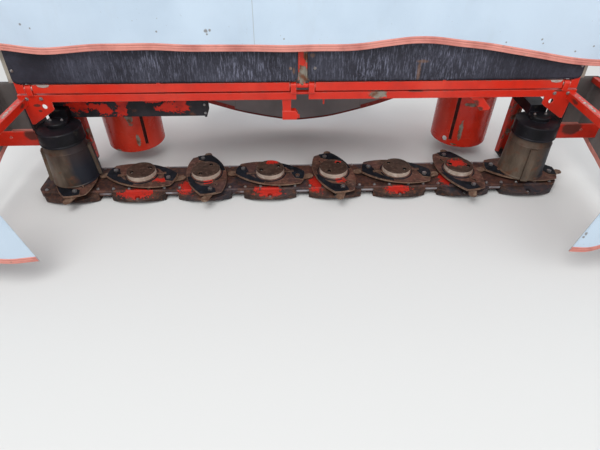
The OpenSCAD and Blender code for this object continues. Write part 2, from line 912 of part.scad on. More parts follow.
// Cross tube with the lower link pins and the sleeves of the stands
module headstock() {
    rear = headstock_y + cross_s / 2;
    hole = stand_s / 2 + seat;
    wall = stand_s / 2 + sleeve_wall;
    color(red) placed() {
        block(-sleeve_x + wall - 1, sleeve_x - wall + 1, headstock_y - cross_s / 2, rear,
              cross_z, cross_top);
        for (side = [-1, 1]) scale_x(side) {
            for (x = [pin_x - pin_half - cheek_t, pin_x - pin_half - cheek_t - 48])
                along_x(x, x + cheek_t) {
                    polygon([[rear - 1, cross_z + 1], [rear, cross_z - 30], [hitch_y, hitch_z - cheek_r],
                             [hitch_y, hitch_z + cheek_r], [rear - 1, cross_top]]);
                    translate([hitch_y, hitch_z]) circle(r = cheek_r);
                }
            rod_x(pin_x - pin_half - cheek_t - 56, pin_x + pin_half, hitch_y, hitch_z, lower_pin_d / 2);
            difference() {
                block(sleeve_x - wall, sleeve_x + wall, headstock_y - wall, headstock_y + wall,
                      cross_z - sleeve_drop, cross_top + sleeve_rise);
                block(sleeve_x - hole, sleeve_x + hole, headstock_y - hole, headstock_y + hole,
                      cross_z - sleeve_drop - 1, cross_top + sleeve_rise + 1);
            }
        }
    }
}

// The two sloping tubes of the headstock
module headstock_legs() {
    color(red) placed()
        for (side = [-1, 1]) scale_x(side)
            along_y(headstock_y - 30, headstock_y + 30)
                polygon([[270, cross_top], [340, cross_top], [yoke_half, yoke_z], [yoke_half - 60, yoke_z]]);
}

// Yoke with the two ears of the top link
module headstock_top() {
    color(red) placed()
        difference() {
            union() {
                block(-yoke_half, yoke_half, headstock_y - yoke_d / 2, headstock_y + yoke_d / 2,
                      yoke_z, yoke_z + yoke_h);
                for (x = [-ear_in - ear_t, ear_in])
                    along_x(x, x + ear_t) {
                        polygon([[headstock_y, yoke_z], [headstock_y, yoke_z + yoke_h + 35],
                                 [hitch_y, hitch_z + mast_h + 36], [hitch_y, hitch_z + mast_h - 36]]);
                        translate([hitch_y, hitch_z + mast_h]) circle(r = 36);
                    }
            }
            rod_x(-ear_in - ear_t - 1, ear_in + ear_t + 1, hitch_y, hitch_z + mast_h, top_pin_d / 2);
        }
}

// Square leg with a row of pin holes and a flat foot
module stand(side) {
    wall = 5;
    top = hitch_z + 150;
    color(black) placed() translate([side * sleeve_x, headstock_y, 0]) {
        difference() {
            translate([-stand_s / 2, -stand_s / 2, 7]) cube([stand_s, stand_s, top - 7]);
            translate([wall - stand_s / 2, wall - stand_s / 2, 12])
                cube([stand_s - 2 * wall, stand_s - 2 * wall, top]);
            for (z = [140 : 60 : 380]) rod_x(-stand_s, stand_s, 0, z, 8);
        }
        linear_extrude(height = 8)
            rounded(-stand_foot / 2, stand_foot / 2, -stand_foot / 2, stand_foot / 2, 20);
    }
}

module stand_left() { stand(-1); }
module stand_right() { stand(1); }

// Guards and curtains

module rear_frame() {
    color(red) placed() {
        rod_x(-rear_half, rear_half, rear_y, rear_z, rear_rod_r);
        for (side = [-1, 1], x = [rear_half / 2, rear_half - 50])
            block(side * x - 15, side * x + 15, main_rear, rear_y, rear_z, rear_z + 15);
    }
}

module top_cover() {
    low = rear_z + rear_rod_r + seat;
    color(canvas_blue) placed()
        block(-rear_half, rear_half, main_rear + 5, rear_y + 25, low, low + canvas_t);
}

// Rear curtain with its hem lowest in the middle
module rear_curtain() {
    low = 70;
    rise = 200;
    half = rear_half - 100;
    front = rear_y + rear_rod_r + seat;
    color(canvas_grey) placed()
        along_y(front, front + canvas_t)
            polygon(concat([for (k = [-8 : 8]) [half * k / 8, low + rise * pow(abs(k) / 8, 1.6)]],
                           [[half, rear_z + 12], [-half, rear_z + 12]]));
}

module side_frame(side) {
    inner = beam_half - 40;
    color(red) placed() scale_x(side) {
        block(inner, beam_half, -350, 0, side_z - 5, side_z + 35);
        block(beam_half, side_x, -350, -310, side_z - 5, side_z + 35);
        block(side_x, side_out, -side_front, side_rear, side_z, side_z + side_s);
        block(inner - 80, side_x, -side_front, -side_front + side_s, side_z, side_z + side_s);
        difference() {
            block(beam_half, side_out, 20, 30, low_bar_z, low_bar_z + low_bar_h);
            rod_y(19, 31, beam_half + 0.65 * (side_x - beam_half), low_bar_z + 55, 8);
        }
        block(side_x, side_out, 20, 20 + side_s, low_bar_z + low_bar_h, side_z);
        block(beam_half, beam_half + 10, 30, 190, low_bar_z, beam_top);
    }
}

module side_frame_left() { side_frame(-1); }
module side_frame_right() { side_frame(1); }

module side_curtain(side) {
    outer = side_out + seat;
    front = -side_front - seat;
    top = side_z + side_s + 10;
    color(canvas_blue) placed() scale_x(side) {
        block(outer, outer + canvas_t, front - canvas_t, side_rear + seat + canvas_t, side_hem, top);
        block(side_x - 100, outer + canvas_t, side_rear + seat, side_rear + seat + canvas_t,
              side_hem, top - 10);
        along_y(front - canvas_t, front)
            polygon([[side_x - 490, side_hem - 8], [side_x - 410, side_hem + 2],
                     [side_x - 320, side_hem + 20], [side_x - 180, side_hem],
                     [outer + canvas_t, side_hem], [outer + canvas_t, top], [side_x - 330, top],
                     [side_x - 340, top - 10], [side_x - 430, side_hem + 280]]);
    }
}

module side_curtain_left() { side_curtain(-1); }
module side_curtain_right() { side_curtain(1); }

// The guard is drawn upright from its hinge and then leaned back
module guard_placed() {
    placed() translate([0, hinge_y, hinge_z]) rotate([-guard_lean, 0, 0]) children();
}

// Arm that reaches forward from the guard to the front rail
module rail_arm(x, w) {
    end_r = rail_d / 2 - 2;
    along_x(x, x + w) {
        polygon([[tube_s / 2, guard_depth - tube_s], [tube_s / 2, guard_depth],
                 [-rail_drop, guard_depth + end_r], [-rail_drop, guard_depth - end_r]]);
        translate([-rail_drop, guard_depth]) circle(r = end_r);
    }
}

module guard_frame() {
    t = tube_s / 2;
    first = ear_places[0] + ear_w + ear_gap;
    last = ear_places[1] - ear_gap;
    post = ear_places[0] - 10;
    color(red) guard_placed() {
        for (side = [-1, 1]) scale_x(side) {
            block(first, last, -t, t, -bar_low, bar_high);
            block(ear_places[1] + ear_w + ear_gap, guard_half, -t, t, -bar_low, bar_high);
            rod_x(ear_places[0] - 4, first + 4, 0, 0, hinge_pin_d / 2);
            rod_x(last - 4, ear_places[1] + ear_w + ear_gap + 4, 0, 0, hinge_pin_d / 2);
            rod_x(first - 5, first + 1, 0, 0, t + 2);
            block(guard_half - 30, guard_half, -t, t, -bar_low, guard_depth);
            block(guard_half / 2, guard_half / 2 + 20, -t, t, bar_high, guard_depth);
            for (x = [480, 980, guard_half - 30]) rail_arm(x, 20);
        }
        rod_x(-ear_places[0] + 3, ear_places[0] - 3, 0, 0, t);
        block(-16, 16, -8, 8, 0, 32);
        difference() {
            block(-post, post, -t, t, 30, guard_depth);
            block(-post + 8, post - 8, -t - 1, 8 - t, 29, guard_depth - tube_s);
        }
        block(-guard_half, guard_half, -t, t, guard_depth - tube_s, guard_depth);
        rail_arm(-20, 40);
        rod_x(-rail_half, rail_half, -rail_drop, guard_depth, rail_d / 2);
    }
}

module guard_sheets() {
    front = -tube_s / 2 - seat;
    color(rubber_grey) guard_placed()
        for (side = [-1, 1]) scale_x(side)
            along_y(front - sheet_t, front)
                rounded(sheet_in, guard_half, sheet_foot, guard_depth - 30, sheet_corner);
}

module guard_canvas() {
    rear = tube_s / 2 + seat;
    color(canvas_blue) guard_placed()
        along_y(rear, rear + canvas_t)
            rounded(-guard_half - 40, guard_half + 40, ear_r + 2, guard_depth + 4, 30);
}

// Front curtain with its uneven hem
module front_curtain() {
    front = rail_y - rail_d / 2 - seat;
    color(canvas_blue) placed()
        along_y(front - canvas_t, front)
            polygon(concat([for (p = hem) [p[0] * rail_half, rail_z - curtain_l - p[1]]],
                           [[rail_half, rail_z + 8], [-rail_half, rail_z + 8]]));
}

front_beam();
main_tube();
end_struts();
cutterbar();
skids();
drum_hood_left();
drum_hood_right();
drive_housing();
lateral_drive();
gearbox();
pto_guard();
pto_stub();
mast();
link_arms();
springs();
headstock();
headstock_legs();
headstock_top();
drum_heads();
rear_frame();
top_cover();
rear_curtain();
side_frame_left();
side_frame_right();
side_curtain_left();
side_curtain_right();
guard_frame();
guard_sheets();
guard_canvas();
front_curtain();
disc_1();
disc_2();
disc_3();
disc_4();
disc_5();
disc_6();
disc_7();
disc_8();
outer_drum_left();
outer_drum_right();
swath_drum_left();
swath_drum_right();
stand_left();
stand_right();
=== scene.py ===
"""Looks of the front-mounted disc mower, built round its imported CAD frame. All lengths are in metres."""

import json
import math

import bpy
import bmesh
from mathutils import Matrix, Vector


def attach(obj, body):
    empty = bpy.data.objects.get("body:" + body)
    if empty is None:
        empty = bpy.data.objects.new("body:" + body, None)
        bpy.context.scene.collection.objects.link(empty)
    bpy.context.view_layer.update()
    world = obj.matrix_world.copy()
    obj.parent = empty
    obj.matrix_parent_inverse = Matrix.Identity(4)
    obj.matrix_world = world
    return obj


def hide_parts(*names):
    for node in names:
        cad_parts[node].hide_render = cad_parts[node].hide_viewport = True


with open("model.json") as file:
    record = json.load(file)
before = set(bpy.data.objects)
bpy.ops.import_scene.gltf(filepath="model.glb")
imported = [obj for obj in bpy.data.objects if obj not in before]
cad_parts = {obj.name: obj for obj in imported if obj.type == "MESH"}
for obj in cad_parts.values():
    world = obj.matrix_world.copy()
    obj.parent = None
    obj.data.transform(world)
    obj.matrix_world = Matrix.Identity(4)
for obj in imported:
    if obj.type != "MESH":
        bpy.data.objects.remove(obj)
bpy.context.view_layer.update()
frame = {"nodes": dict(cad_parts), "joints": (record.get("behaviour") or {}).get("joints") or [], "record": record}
NODES = frame["nodes"]
JOINTS = {j["name"]: j for j in frame["joints"]}

SIDES = ((-1, "left"), (1, "right"))

# Places that the frame gives: the disc line, the guard's hinge, the rail and the right swath drum
DISC_COUNT = 8
DISC_X = [JOINTS["disc_%d_spin" % (i + 1)]["pos_m"][0] for i in range(DISC_COUNT)]
DISC_Y = JOINTS["disc_1_spin"]["pos_m"][1]
DISC_PITCH = DISC_X[1] - DISC_X[0]
HINGE = Vector(JOINTS["guard_fold"]["pos_m"])
RAIL = Vector(JOINTS["curtain_swing"]["pos_m"])
SWATH_AXIS = Vector(JOINTS["swath_right_spin"]["pos_m"])

# The raised guard: its lean, its length from the hinge and its half width
GUARD_LEAN = math.radians(6)
GUARD_DEPTH = 0.715
GUARD_HALF = 1.510


def place(x, y, z):
    """A point given by its distance behind the disc line."""
    return Vector((x, DISC_Y + y, z))


def guard_point(x, y, z):
    """A point given upright from the guard's hinge, then leaned back with the guard."""
    return HINGE + Vector((x, y * math.cos(GUARD_LEAN) + z * math.sin(GUARD_LEAN),
                           z * math.cos(GUARD_LEAN) - y * math.sin(GUARD_LEAN)))


def ramp(table, x):
    """Straight lines between the table's points."""
    for (x0, y0), (x1, y1) in zip(table, table[1:]):
        if x <= x1:
            return y0 + (y1 - y0) * max(0.0, (x - x0) / (x1 - x0))
    return table[-1][1]


def smooth(table, x):
    """A soft curve through the table's points."""
    for k in range(len(table) - 1):
        if x <= table[k + 1][0] or k == len(table) - 2:
            p0, p1 = table[max(k - 1, 0)], table[k]
            p2, p3 = table[k + 1], table[min(k + 2, len(table) - 1)]
            t = min(1.0, max(0.0, (x - p1[0]) / (p2[0] - p1[0])))
            m1 = (p2[1] - p0[1]) / (p2[0] - p0[0]) * (p2[0] - p1[0])
            m2 = (p3[1] - p1[1]) / (p3[0] - p1[0]) * (p2[0] - p1[0])
            return ((2 * t**3 - 3 * t**2 + 1) * p1[1] + (t**3 - 2 * t**2 + t) * m1
                    + (3 * t**2 - 2 * t**3) * p2[1] + (t**3 - t**2) * m2)


def add_object(name, data):
    made = bpy.data.objects.new(name, data)
    bpy.context.scene.collection.objects.link(made)
    return made


# Camera: the photograph's view, found from its discs, beam and ground line

CAMERA_PLACE = place(-0.105, -2.290, 1.624)
CAMERA_PITCH = math.radians(40.61)
CAMERA_YAW = math.radians(2.40)
CAMERA_ROLL = math.radians(0.40)
FOCAL_PX = 443.48
FRAME_PX = 600
SENSOR = 36.0
NEAREST, FARTHEST = 0.05, 100


def make_camera():
    data = bpy.data.cameras.new("camera")
    cam = add_object("camera", data)
    forward = Vector((math.sin(CAMERA_YAW) * math.cos(CAMERA_PITCH),
                      math.cos(CAMERA_YAW) * math.cos(CAMERA_PITCH),
                      -math.sin(CAMERA_PITCH)))
    right0 = Vector((math.cos(CAMERA_YAW), -math.sin(CAMERA_YAW), 0))
    up0 = right0.cross(forward)
    right = right0 * math.cos(CAMERA_ROLL) + up0 * math.sin(CAMERA_ROLL)
    up = up0 * math.cos(CAMERA_ROLL) - right0 * math.sin(CAMERA_ROLL)
    turn = Matrix((right, up, -forward)).transposed()
    cam.matrix_world = Matrix.Translation(CAMERA_PLACE) @ turn.to_4x4()
    data.sensor_width = SENSOR
    data.lens = FOCAL_PX / FRAME_PX * SENSOR
    data.clip_start, data.clip_end = NEAREST, FARTHEST
    bpy.context.scene.camera = cam


make_camera()


# Node helpers

class Shader:
    """A Principled material with short calls for the nodes that its looks are made of."""

    def __init__(self, name, **inputs):
        self.material = bpy.data.materials.new(name)
        self.material.use_nodes = True
        self.tree = self.material.node_tree
        self.tree.nodes.clear()
        self.bsdf = self.node("BsdfPrincipled", **inputs)
        self.node("OutputMaterial", Surface=self.bsdf.outputs[0])

    def node(self, kind, **values):
        """A new node; values with a capital go to its inputs, the others to its settings."""
        made = self.tree.nodes.new("ShaderNode" + kind)
        for key, value in values.items():
            if key[0].isupper():
                self.put(value, made.inputs[key.replace("_", " ")])
            else:
                setattr(made, key, value)
        return made

    def put(self, value, socket):
        if hasattr(value, "is_output"):
            self.tree.links.new(value, socket)
        else:
            socket.default_value = value

    def where(self, scale=(1, 1, 1), move=(0, 0, 0), coordinates="Object"):
        """Coordinates for a texture; those of the object are metres in the row frame."""
        source = self.node("TexCoord").outputs[coordinates]
        return self.node("Mapping", Vector=source, Location=move, Scale=scale).outputs[0]

    def noise(self, scale, detail=4.0, rough=0.55, stretch=(1, 1, 1), move=(0, 0, 0), twist=0.0):
        return self.node("TexNoise", Vector=self.where(stretch, move), Scale=scale, Detail=detail,
                         Roughness=rough, Distortion=twist).outputs["Fac"]

    def wave(self, scale, direction):
        """Waves along the sheet's own X or Y, whose coordinates are metres too."""
        return self.node("TexWave", bands_direction=direction, Vector=self.where(coordinates="UV"),
                         Scale=scale).outputs["Fac"]

    def band(self, value, low, high):
        """0 at low and 1 at high, with a straight ramp between."""
        return self.node("MapRange", clamp=True, Value=value, From_Min=low, From_Max=high).outputs[0]

    def math(self, kind, a, b=0.0):
        made = self.node("Math", operation=kind)
        for socket, value in zip(made.inputs, (a, b)):
            self.put(value, socket)
        return made.outputs[0]

    def times(self, a, b):
        return self.math("MULTIPLY", a, b)

    def most(self, *values):
        top = values[0]
        for value in values[1:]:
            top = self.math("MAXIMUM", top, value)
        return top

    def axis(self, letter, coordinates="Object"):
        return self.node("SeparateXYZ", Vector=self.where(coordinates=coordinates)).outputs[letter]

    def spots(self, marks, ragged=1.3, scale=34.0, edge=0.06):
        """1 inside ragged ovals, each given by its centre and its three half lengths."""
        rough = self.math("ADD", self.times(self.noise(scale, 5, 0.6, twist=0.5), 1.1),
                          self.times(self.noise(scale * 4, 6, 0.7), 0.9))
        wobble = self.times(rough, ragged)
        found = []
        for centre, reach in marks:
            spot = self.where([1 / r for r in reach], [-c / r for c, r in zip(centre, reach)])
            length = self.node("VectorMath", operation="LENGTH", Vector=spot).outputs["Value"]
            found.append(self.band(self.math("ADD", length, wobble), 1.0 + ragged, 1.0 + ragged - edge))
        return self.most(*found)

    def rounded(self, radius):
        """The surface's normal with its sharp edges rounded off."""
        return self.node("Bevel", samples=4, Radius=radius).outputs[0]

    def edge(self, radius=0.006, low=0.02, high=0.25):
        """1 on sharp edges, from the difference between the true and the rounded normal."""
        dot = self.node("VectorMath", operation="DOT_PRODUCT", Vector=self.rounded(radius))
        self.put(self.node("NewGeometry").outputs["Normal"], dot.inputs[1])
        return self.band(self.math("SUBTRACT", 1.0, dot.outputs["Value"]), low, high)

    def round_edges(self, radius):
        """Lets sharp edges catch the light as a small radius does."""
        self.put(self.rounded(radius), self.bsdf.inputs["Normal"])

    def mix(self, factor, a, b):
        made = self.node("Mix", data_type="RGBA", Factor=factor)
        for key, value in (("A", a), ("B", b)):
            socket = [s for s in made.inputs if s.name == key and s.type == "RGBA"][0]
            self.put(value if hasattr(value, "is_output") else (*value, 1), socket)
        return [s for s in made.outputs if s.type == "RGBA"][0]

    def base(self, factor, a, b):
        """Makes the base colour a mix of two tones."""
        self.tone = self.mix(factor, a, b)
        self.put(self.tone, self.bsdf.inputs["Base Color"])

    def lay(self, factor, over):
        """Lays another tone over the base colour so far."""
        self.base(factor, self.tone, over)

    def rough(self, value, low, high):
        made = self.node("MapRange", Value=value, To_Min=low, To_Max=high)
        self.put(made.outputs[0], self.bsdf.inputs["Roughness"])

    def bump(self, value, distance, strength=1.0):
        made = self.node("Bump", Strength=strength, Distance=distance, Height=value)
        normal = self.bsdf.inputs["Normal"]
        if normal.links:
            self.put(normal.links[0].from_socket, made.inputs["Normal"])
        self.put(made.outputs[0], normal)


# Tones

RED = (0.60, 0.022, 0.008)
RED_DARK = (0.27, 0.012, 0.008)
RED_FADED = (0.66, 0.060, 0.032)
# Pale pink painted on sharp red edges as a highlight
RED_EDGE_HIGHLIGHT = (0.80, 0.20, 0.15)
RUST = (0.15, 0.055, 0.026)
RUST_PALE = (0.25, 0.13, 0.075)
RUST_DARK = (0.045, 0.023, 0.016)
DRY_GRASS = (0.22, 0.17, 0.10)
DUST = (0.30, 0.25, 0.18)
STEEL_BLUE = (0.028, 0.034, 0.048)
WORN_GREY = (0.24, 0.22, 0.18)
TAN = (0.34, 0.26, 0.18)
PALE_METAL = (0.52, 0.50, 0.46)
# Pale grey for scuffed bare metal, which also stands in for a highlight
SCUFFED_AND_HIGHLIT = (0.48, 0.47, 0.50)


def marks(rows):
    """Worn or stained spots, from rows of X, distance behind the disc line, height and half lengths."""
    return [(place(*row[:3]), row[3:]) for row in rows]


def red_paint(name, chips=0.1, dirt=0.3, bare_marks=(), dark_marks=(), scale=9.0, gloss=0.30,
              pale_marks=()):
    """Gloss red with faded areas, dirt, worn edges, chips and the marks that the photograph shows."""
    s = Shader(name, Specular_IOR_Level=0.30, Coat_Weight=0.08, Coat_Roughness=0.2)
    s.round_edges(0.004)
    s.base(s.band(s.noise(2.5, 3), 0.46, 0.78), RED, RED_FADED)
    s.lay(s.times(s.band(s.noise(12, 5), 0.48, 0.80), 0.40), RED_DARK)
    grime = s.times(s.band(s.noise(6.5, 6, 0.65), 0.50, 0.74), dirt)
    if dark_marks:
        grime = s.most(grime, s.times(s.spots(dark_marks, 0.5, 20, 0.3), 0.85))
    s.lay(grime, RUST_DARK)
    # Sharp edges painted pale pink: a painted highlight
    s.lay(s.times(s.edge(0.005, 0.01, 0.12), 0.5), RED_EDGE_HIGHLIGHT)
    speckle = s.times(s.band(s.noise(130, 3, 0.7), 0.69, 0.74), 0.5)
    worn = s.times(s.edge(), s.band(s.noise(26, 4), 0.54 - chips * 0.2, 0.62))
    bare = s.band(s.noise(scale, 8, 0.62, twist=0.4), 0.74 - 0.25 * chips, 0.752 - 0.25 * chips)
    bare = s.most(bare, worn, speckle)
    if bare_marks:
        bare = s.most(bare, s.spots(bare_marks))
    s.lay(bare, s.mix(s.band(s.noise(30, 5), 0.42, 0.6), WORN_GREY, RUST))
    if pale_marks:
        pale = s.spots(pale_marks, 1.6, 60, 0.3)
        s.lay(pale, s.mix(s.band(s.noise(70, 4), 0.40, 0.60), WORN_GREY, PALE_METAL))
        bare = s.most(bare, pale)
    s.rough(s.most(bare, grime), gloss, 0.74)
    s.bump(s.times(bare, -1.0), 0.0005)
    s.bump(s.noise(60, 3), 0.0002)
    return s.material


def chipped_black(name, red_marks=(), red_left=0.1):
    """Bare dark steel that keeps patches of its red paint."""
    s = Shader(name, Specular_IOR_Level=0.25)
    s.base(s.band(s.noise(8, 5), 0.40, 0.65), (0.010, 0.010, 0.012), (0.028, 0.025, 0.030))
    s.lay(s.times(s.band(s.noise(22, 5), 0.60, 0.76), 0.7), RUST)
    keep = s.band(s.noise(7.5, 10, 0.66, twist=0.5), 0.72 - 0.2 * red_left, 0.732 - 0.2 * red_left)
    if red_marks:
        keep = s.most(keep, s.spots(red_marks, 2.6, 26, 0.05))
    s.lay(keep, s.mix(s.band(s.noise(17, 4), 0.45, 0.75), RED, RED_DARK))
    s.rough(keep, 0.60, 0.40)
    s.bump(keep, 0.0008)
    s.bump(s.noise(90, 4), 0.0003)
    return s.material


def rusty_steel(name, tones, red_marks=(), grass=0.3, blue=0.5, shine=None, oil=0.28):
    """Oily rusted steel in three tones, with stuck grass, and scuffed bright where shine says, a pale tone that is
    partly bare metal and partly a painted highlight.
    """
    s = Shader(name, Specular_IOR_Level=oil, Metallic=0.1)
    s.base(s.band(s.noise(14, 7, 0.62), 0.38, 0.62), tones[0], tones[1])
    s.lay(s.times(s.band(s.noise(50, 5), 0.50, 0.74), 0.8), tones[2])
    s.lay(s.times(s.band(s.noise(9, 6, 0.7, move=(3, 1, 2)), 0.54, 0.72), grass), DRY_GRASS)
    s.lay(s.times(s.band(s.noise(6, 4, move=(7, 2, 0)), 0.52, 0.62), blue), STEEL_BLUE)
    if red_marks:
        s.lay(s.spots(red_marks, 2.4, 45, 0.08), s.mix(s.noise(90, 4), RED, RED_DARK))
    if shine is not None:
        # Pale where shine says: bare metal with a painted highlight
        s.lay(shine(s), SCUFFED_AND_HIGHLIT)
    s.lay(s.times(s.edge(0.004, 0.05, 0.4), s.band(s.noise(20, 3), 0.42, 0.6)), RUST_PALE)
    s.rough(s.noise(18, 5), 0.42, 0.80)
    s.bump(s.noise(60, 6, 0.6), 0.0006)
    return s.material


def drum_wall(name):
    """Steel worn brown where the crop runs, blue-black on the side whose faces point along +X."""
    s = Shader(name, Specular_IOR_Level=0.35, Metallic=0.2)
    s.base(s.band(s.noise(9, 6, 0.6, stretch=(1, 1, 0.35)), 0.36, 0.66), (0.060, 0.042, 0.030),
           (0.21, 0.155, 0.11))
    s.lay(s.band(s.noise(26, 5), 0.52, 0.74), RUST)
    side = s.math("ADD", s.axis("X", "Normal"), s.times(s.noise(5, 5), 0.5))
    s.lay(s.band(side, 0.50, 0.80), (0.014, 0.016, 0.024))
    # Darker towards the top
    s.lay(s.times(s.band(s.axis("Z"), 0.20, 0.29), 0.5), RUST_DARK)
    s.lay(s.band(s.axis("Z"), 0.335, 0.345), RUST_PALE)
    s.rough(s.noise(16, 4), 0.38, 0.66)
    s.bump(s.noise(70, 6, 0.6, stretch=(1, 1, 0.3)), 0.0005)
    return s.material


def rubber(name):
    """Weathered rubber with pale rain streaks and rust stains."""
    s = Shader(name, Specular_IOR_Level=0.25)
    s.base(s.band(s.noise(4, 5), 0.38, 0.66), (0.020, 0.019, 0.028), (0.050, 0.051, 0.071))
    s.lay(s.times(s.band(s.noise(60, 5, 0.7), 0.46, 0.62), 0.5), (0.018, 0.018, 0.024))
    fine = s.band(s.noise(80, 5, 0.75, stretch=(1.5, 1, 0.20)), 0.50, 0.70)
    wide = s.band(s.noise(2.6, 2, move=(1, 0, 0)), 0.40, 0.62)
    # The streaks thin out towards the machine's outer ends, so the sheets are darker there
    middle = s.band(s.math("ABSOLUTE", s.axis("X")), 1.35, 0.75)
    share = s.times(s.math("ADD", s.times(wide, 0.45), 0.35), middle)
    streaks = s.times(fine, share)
    s.lay(streaks, (0.29, 0.30, 0.40))
    s.lay(s.times(s.spots(RUBBER_STAINS, 0.9, 60, 0.5), 0.55), (0.20, 0.105, 0.06))
    s.rough(streaks, 0.55, 0.78)
    s.bump(fine, 0.0004)
    s.bump(s.noise(5, 3, stretch=(1, 1, 0.3)), 0.003)
    return s.material


def satin_black(name, gloss=0.42):
    s = Shader(name, Specular_IOR_Level=0.16)
    # A near-black base, darker than the part's own black: painted shade
    s.base(s.band(s.noise(10, 5), 0.42, 0.68), (0.004, 0.004, 0.005), (0.011, 0.010, 0.014))
    # Bluish tone on sharp edges, where the noise allows: a painted highlight
    s.lay(s.times(s.edge(0.005), s.band(s.noise(18, 4), 0.44, 0.62)), (0.055, 0.060, 0.075))
    s.lay(s.times(s.band(s.noise(25, 6), 0.62, 0.78), 0.12), DUST)
    s.rough(s.noise(14, 4), gloss - 0.10, gloss + 0.22)
    s.bump(s.noise(80, 4), 0.0003)
    return s.material


def bright_steel(name, tone=(0.42, 0.41, 0.39)):
    s = Shader(name, Metallic=0.85, Specular_IOR_Level=0.5)
    s.base(s.band(s.noise(35, 5), 0.5, 0.72), tone, RUST_PALE)
    s.rough(s.noise(40, 4), 0.28, 0.60)
    s.bump(s.noise(180, 3), 0.0002)
    return s.material


def canvas(name, light, dark, stain=0.3, stain_tone=(0.34, 0.31, 0.25), marks=(), seam=None,
           mirrored=False):
    """Coated woven fabric: a fine weave in relief, rain stains, specks and, where given, dark spots.

    seam is the X of an upright seam, and mirrored gives it a twin on the other side.
    """
    s = Shader(name, Specular_IOR_Level=0.3, Sheen_Weight=0.1)
    s.base(s.band(s.noise(2.2, 4), 0.42, 0.74), light, dark)
    s.lay(s.times(s.band(s.noise(5, 6, 0.7, stretch=(1, 1, 0.35)), 0.54, 0.80), stain), stain_tone)
    s.lay(s.times(s.band(s.noise(95, 2, 0.6), 0.735, 0.76), 0.55), (0.18, 0.15, 0.11))
    if marks:
        s.lay(s.times(s.spots(marks, 0.8, 90, 0.4), 0.7), (0.14, 0.10, 0.06))
    if seam is not None:
        across = s.math("ABSOLUTE", s.axis("X")) if mirrored else s.axis("X")
        off = s.math("ABSOLUTE", s.math("SUBTRACT", across, seam))
        line = s.band(off, 0.0022, 0.0010)
        s.lay(s.times(line, 0.45), stain_tone)
        s.bump(line, -0.0008)
    s.rough(s.noise(8, 4), 0.50, 0.72)
    s.bump(s.times(s.wave(300, "X"), s.wave(300, "Y")), 0.0002, 0.6)
    s.bump(s.noise(7, 3), 0.002)
    return s.material


def binding(name, tone=(0.74, 0.30, 0.245), shade=(0.50, 0.17, 0.14)):
    """Faded red hem tape, ribbed along its length; UV runs along the hem and across it."""
    s = Shader(name, Specular_IOR_Level=0.25)
    s.base(s.band(s.noise(9, 5), 0.42, 0.72), tone, shade)
    lines = s.math("POWER", s.wave(22, "Y"), 4.0)
    s.lay(s.times(lines, 0.35), shade)
    s.lay(s.times(s.band(s.noise(40, 5), 0.60, 0.74), 0.5), (0.28, 0.22, 0.17))
    s.rough(s.noise(20, 3), 0.5, 0.7)
    s.bump(s.wave(260, "X"), 0.0002, 0.6)
    s.bump(lines, -0.0006)
    return s.material


# Seams of the front and the rear curtain, as X
FRONT_SEAM = -0.243
REAR_SEAM = 0.450

# Marks that the photograph shows, in rows as marks() takes them
CURTAIN_MARKS = marks((x, -0.026, z, r, 0.03, r) for x, z, r in [
    (-0.714, 0.933, 0.006), (-0.475, 0.935, 0.011), (-0.456, 0.938, 0.008), (-0.471, 0.920, 0.006),
    (-0.096, 0.896, 0.005), (1.210, 0.883, 0.006), (1.222, 0.863, 0.005), (1.402, 0.824, 0.006),
    (1.489, 0.849, 0.006), (1.026, 0.872, 0.005), (-1.345, 0.971, 0.007), (-1.306, 0.953, 0.005)])
FLAP_MARKS = marks([(1.291, -0.803, 0.256, 0.007, 0.03, 0.012), (1.287, -0.803, 0.236, 0.006, 0.03, 0.008)])
RUBBER_STAINS = marks([
    (0.630, 0, 0.766, 0.040, 0.2, 0.010), (0.616, 0, 0.715, 0.012, 0.2, 0.060),
    (-0.047, 0, 0.725, 0.009, 0.2, 0.022), (0.050, 0, 0.800, 0.016, 0.2, 0.012)])
BEAM_BARE = marks([(0.412, 0, 0.592, 0.048, 0.05, 0.026)])
BEAM_DARK = marks([
    (-1.435, 0, 0.547, 0.022, 0.03, 0.010), (-1.428, 0, 0.515, 0.012, 0.03, 0.008),
    (0.62, 0, 0.604, 0.05, 0.03, 0.005), (1.42, 0, 0.60, 0.03, 0.03, 0.006),
    (0.97, 0.01, 0.52, 0.03, 0.03, 0.03), (1.00, 0.01, 0.49, 0.03, 0.03, 0.02)])
GUARD_BARE = marks([
    (0, 0.01, 0.70, 0.03, 0.04, 0.05), (0.018, 0.02, 0.80, 0.012, 0.04, 0.04),
    (-0.02, 0.02, 0.86, 0.012, 0.04, 0.03)])
ARM_TOP_BARE = marks([
    (-1.500, -0.17, 0.597, 0.016, 0.16, 0.010), (1.500, -0.17, 0.597, 0.016, 0.16, 0.010),
    (-1.60, 0.045, 0.600, 0.020, 0.030, 0.012), (1.64, 0.062, 0.600, 0.022, 0.030, 0.012)])
SIDE_DARK = marks([
    (-1.545, 0.02, 0.36, 0.045, 0.05, 0.04), (1.60, 0.02, 0.355, 0.07, 0.05, 0.05),
    (-1.5, -0.05, 0.57, 0.03, 0.05, 0.02), (1.5, -0.08, 0.57, 0.03, 0.06, 0.02)])
SWATH_BARE = marks([
    (-1.060, 0.245, 0.345, 0.020, 0.03, 0.055), (-1.037, 0.25, 0.185, 0.012, 0.03, 0.045),
    (-1.181, 0.266, 0.108, 0.018, 0.03, 0.008), (1.040, 0.26, 0.215, 0.012, 0.04, 0.075),
    (1.02, 0.27, 0.115, 0.02, 0.03, 0.006), (1.07, 0.25, 0.40, 0.05, 0.04, 0.012)])
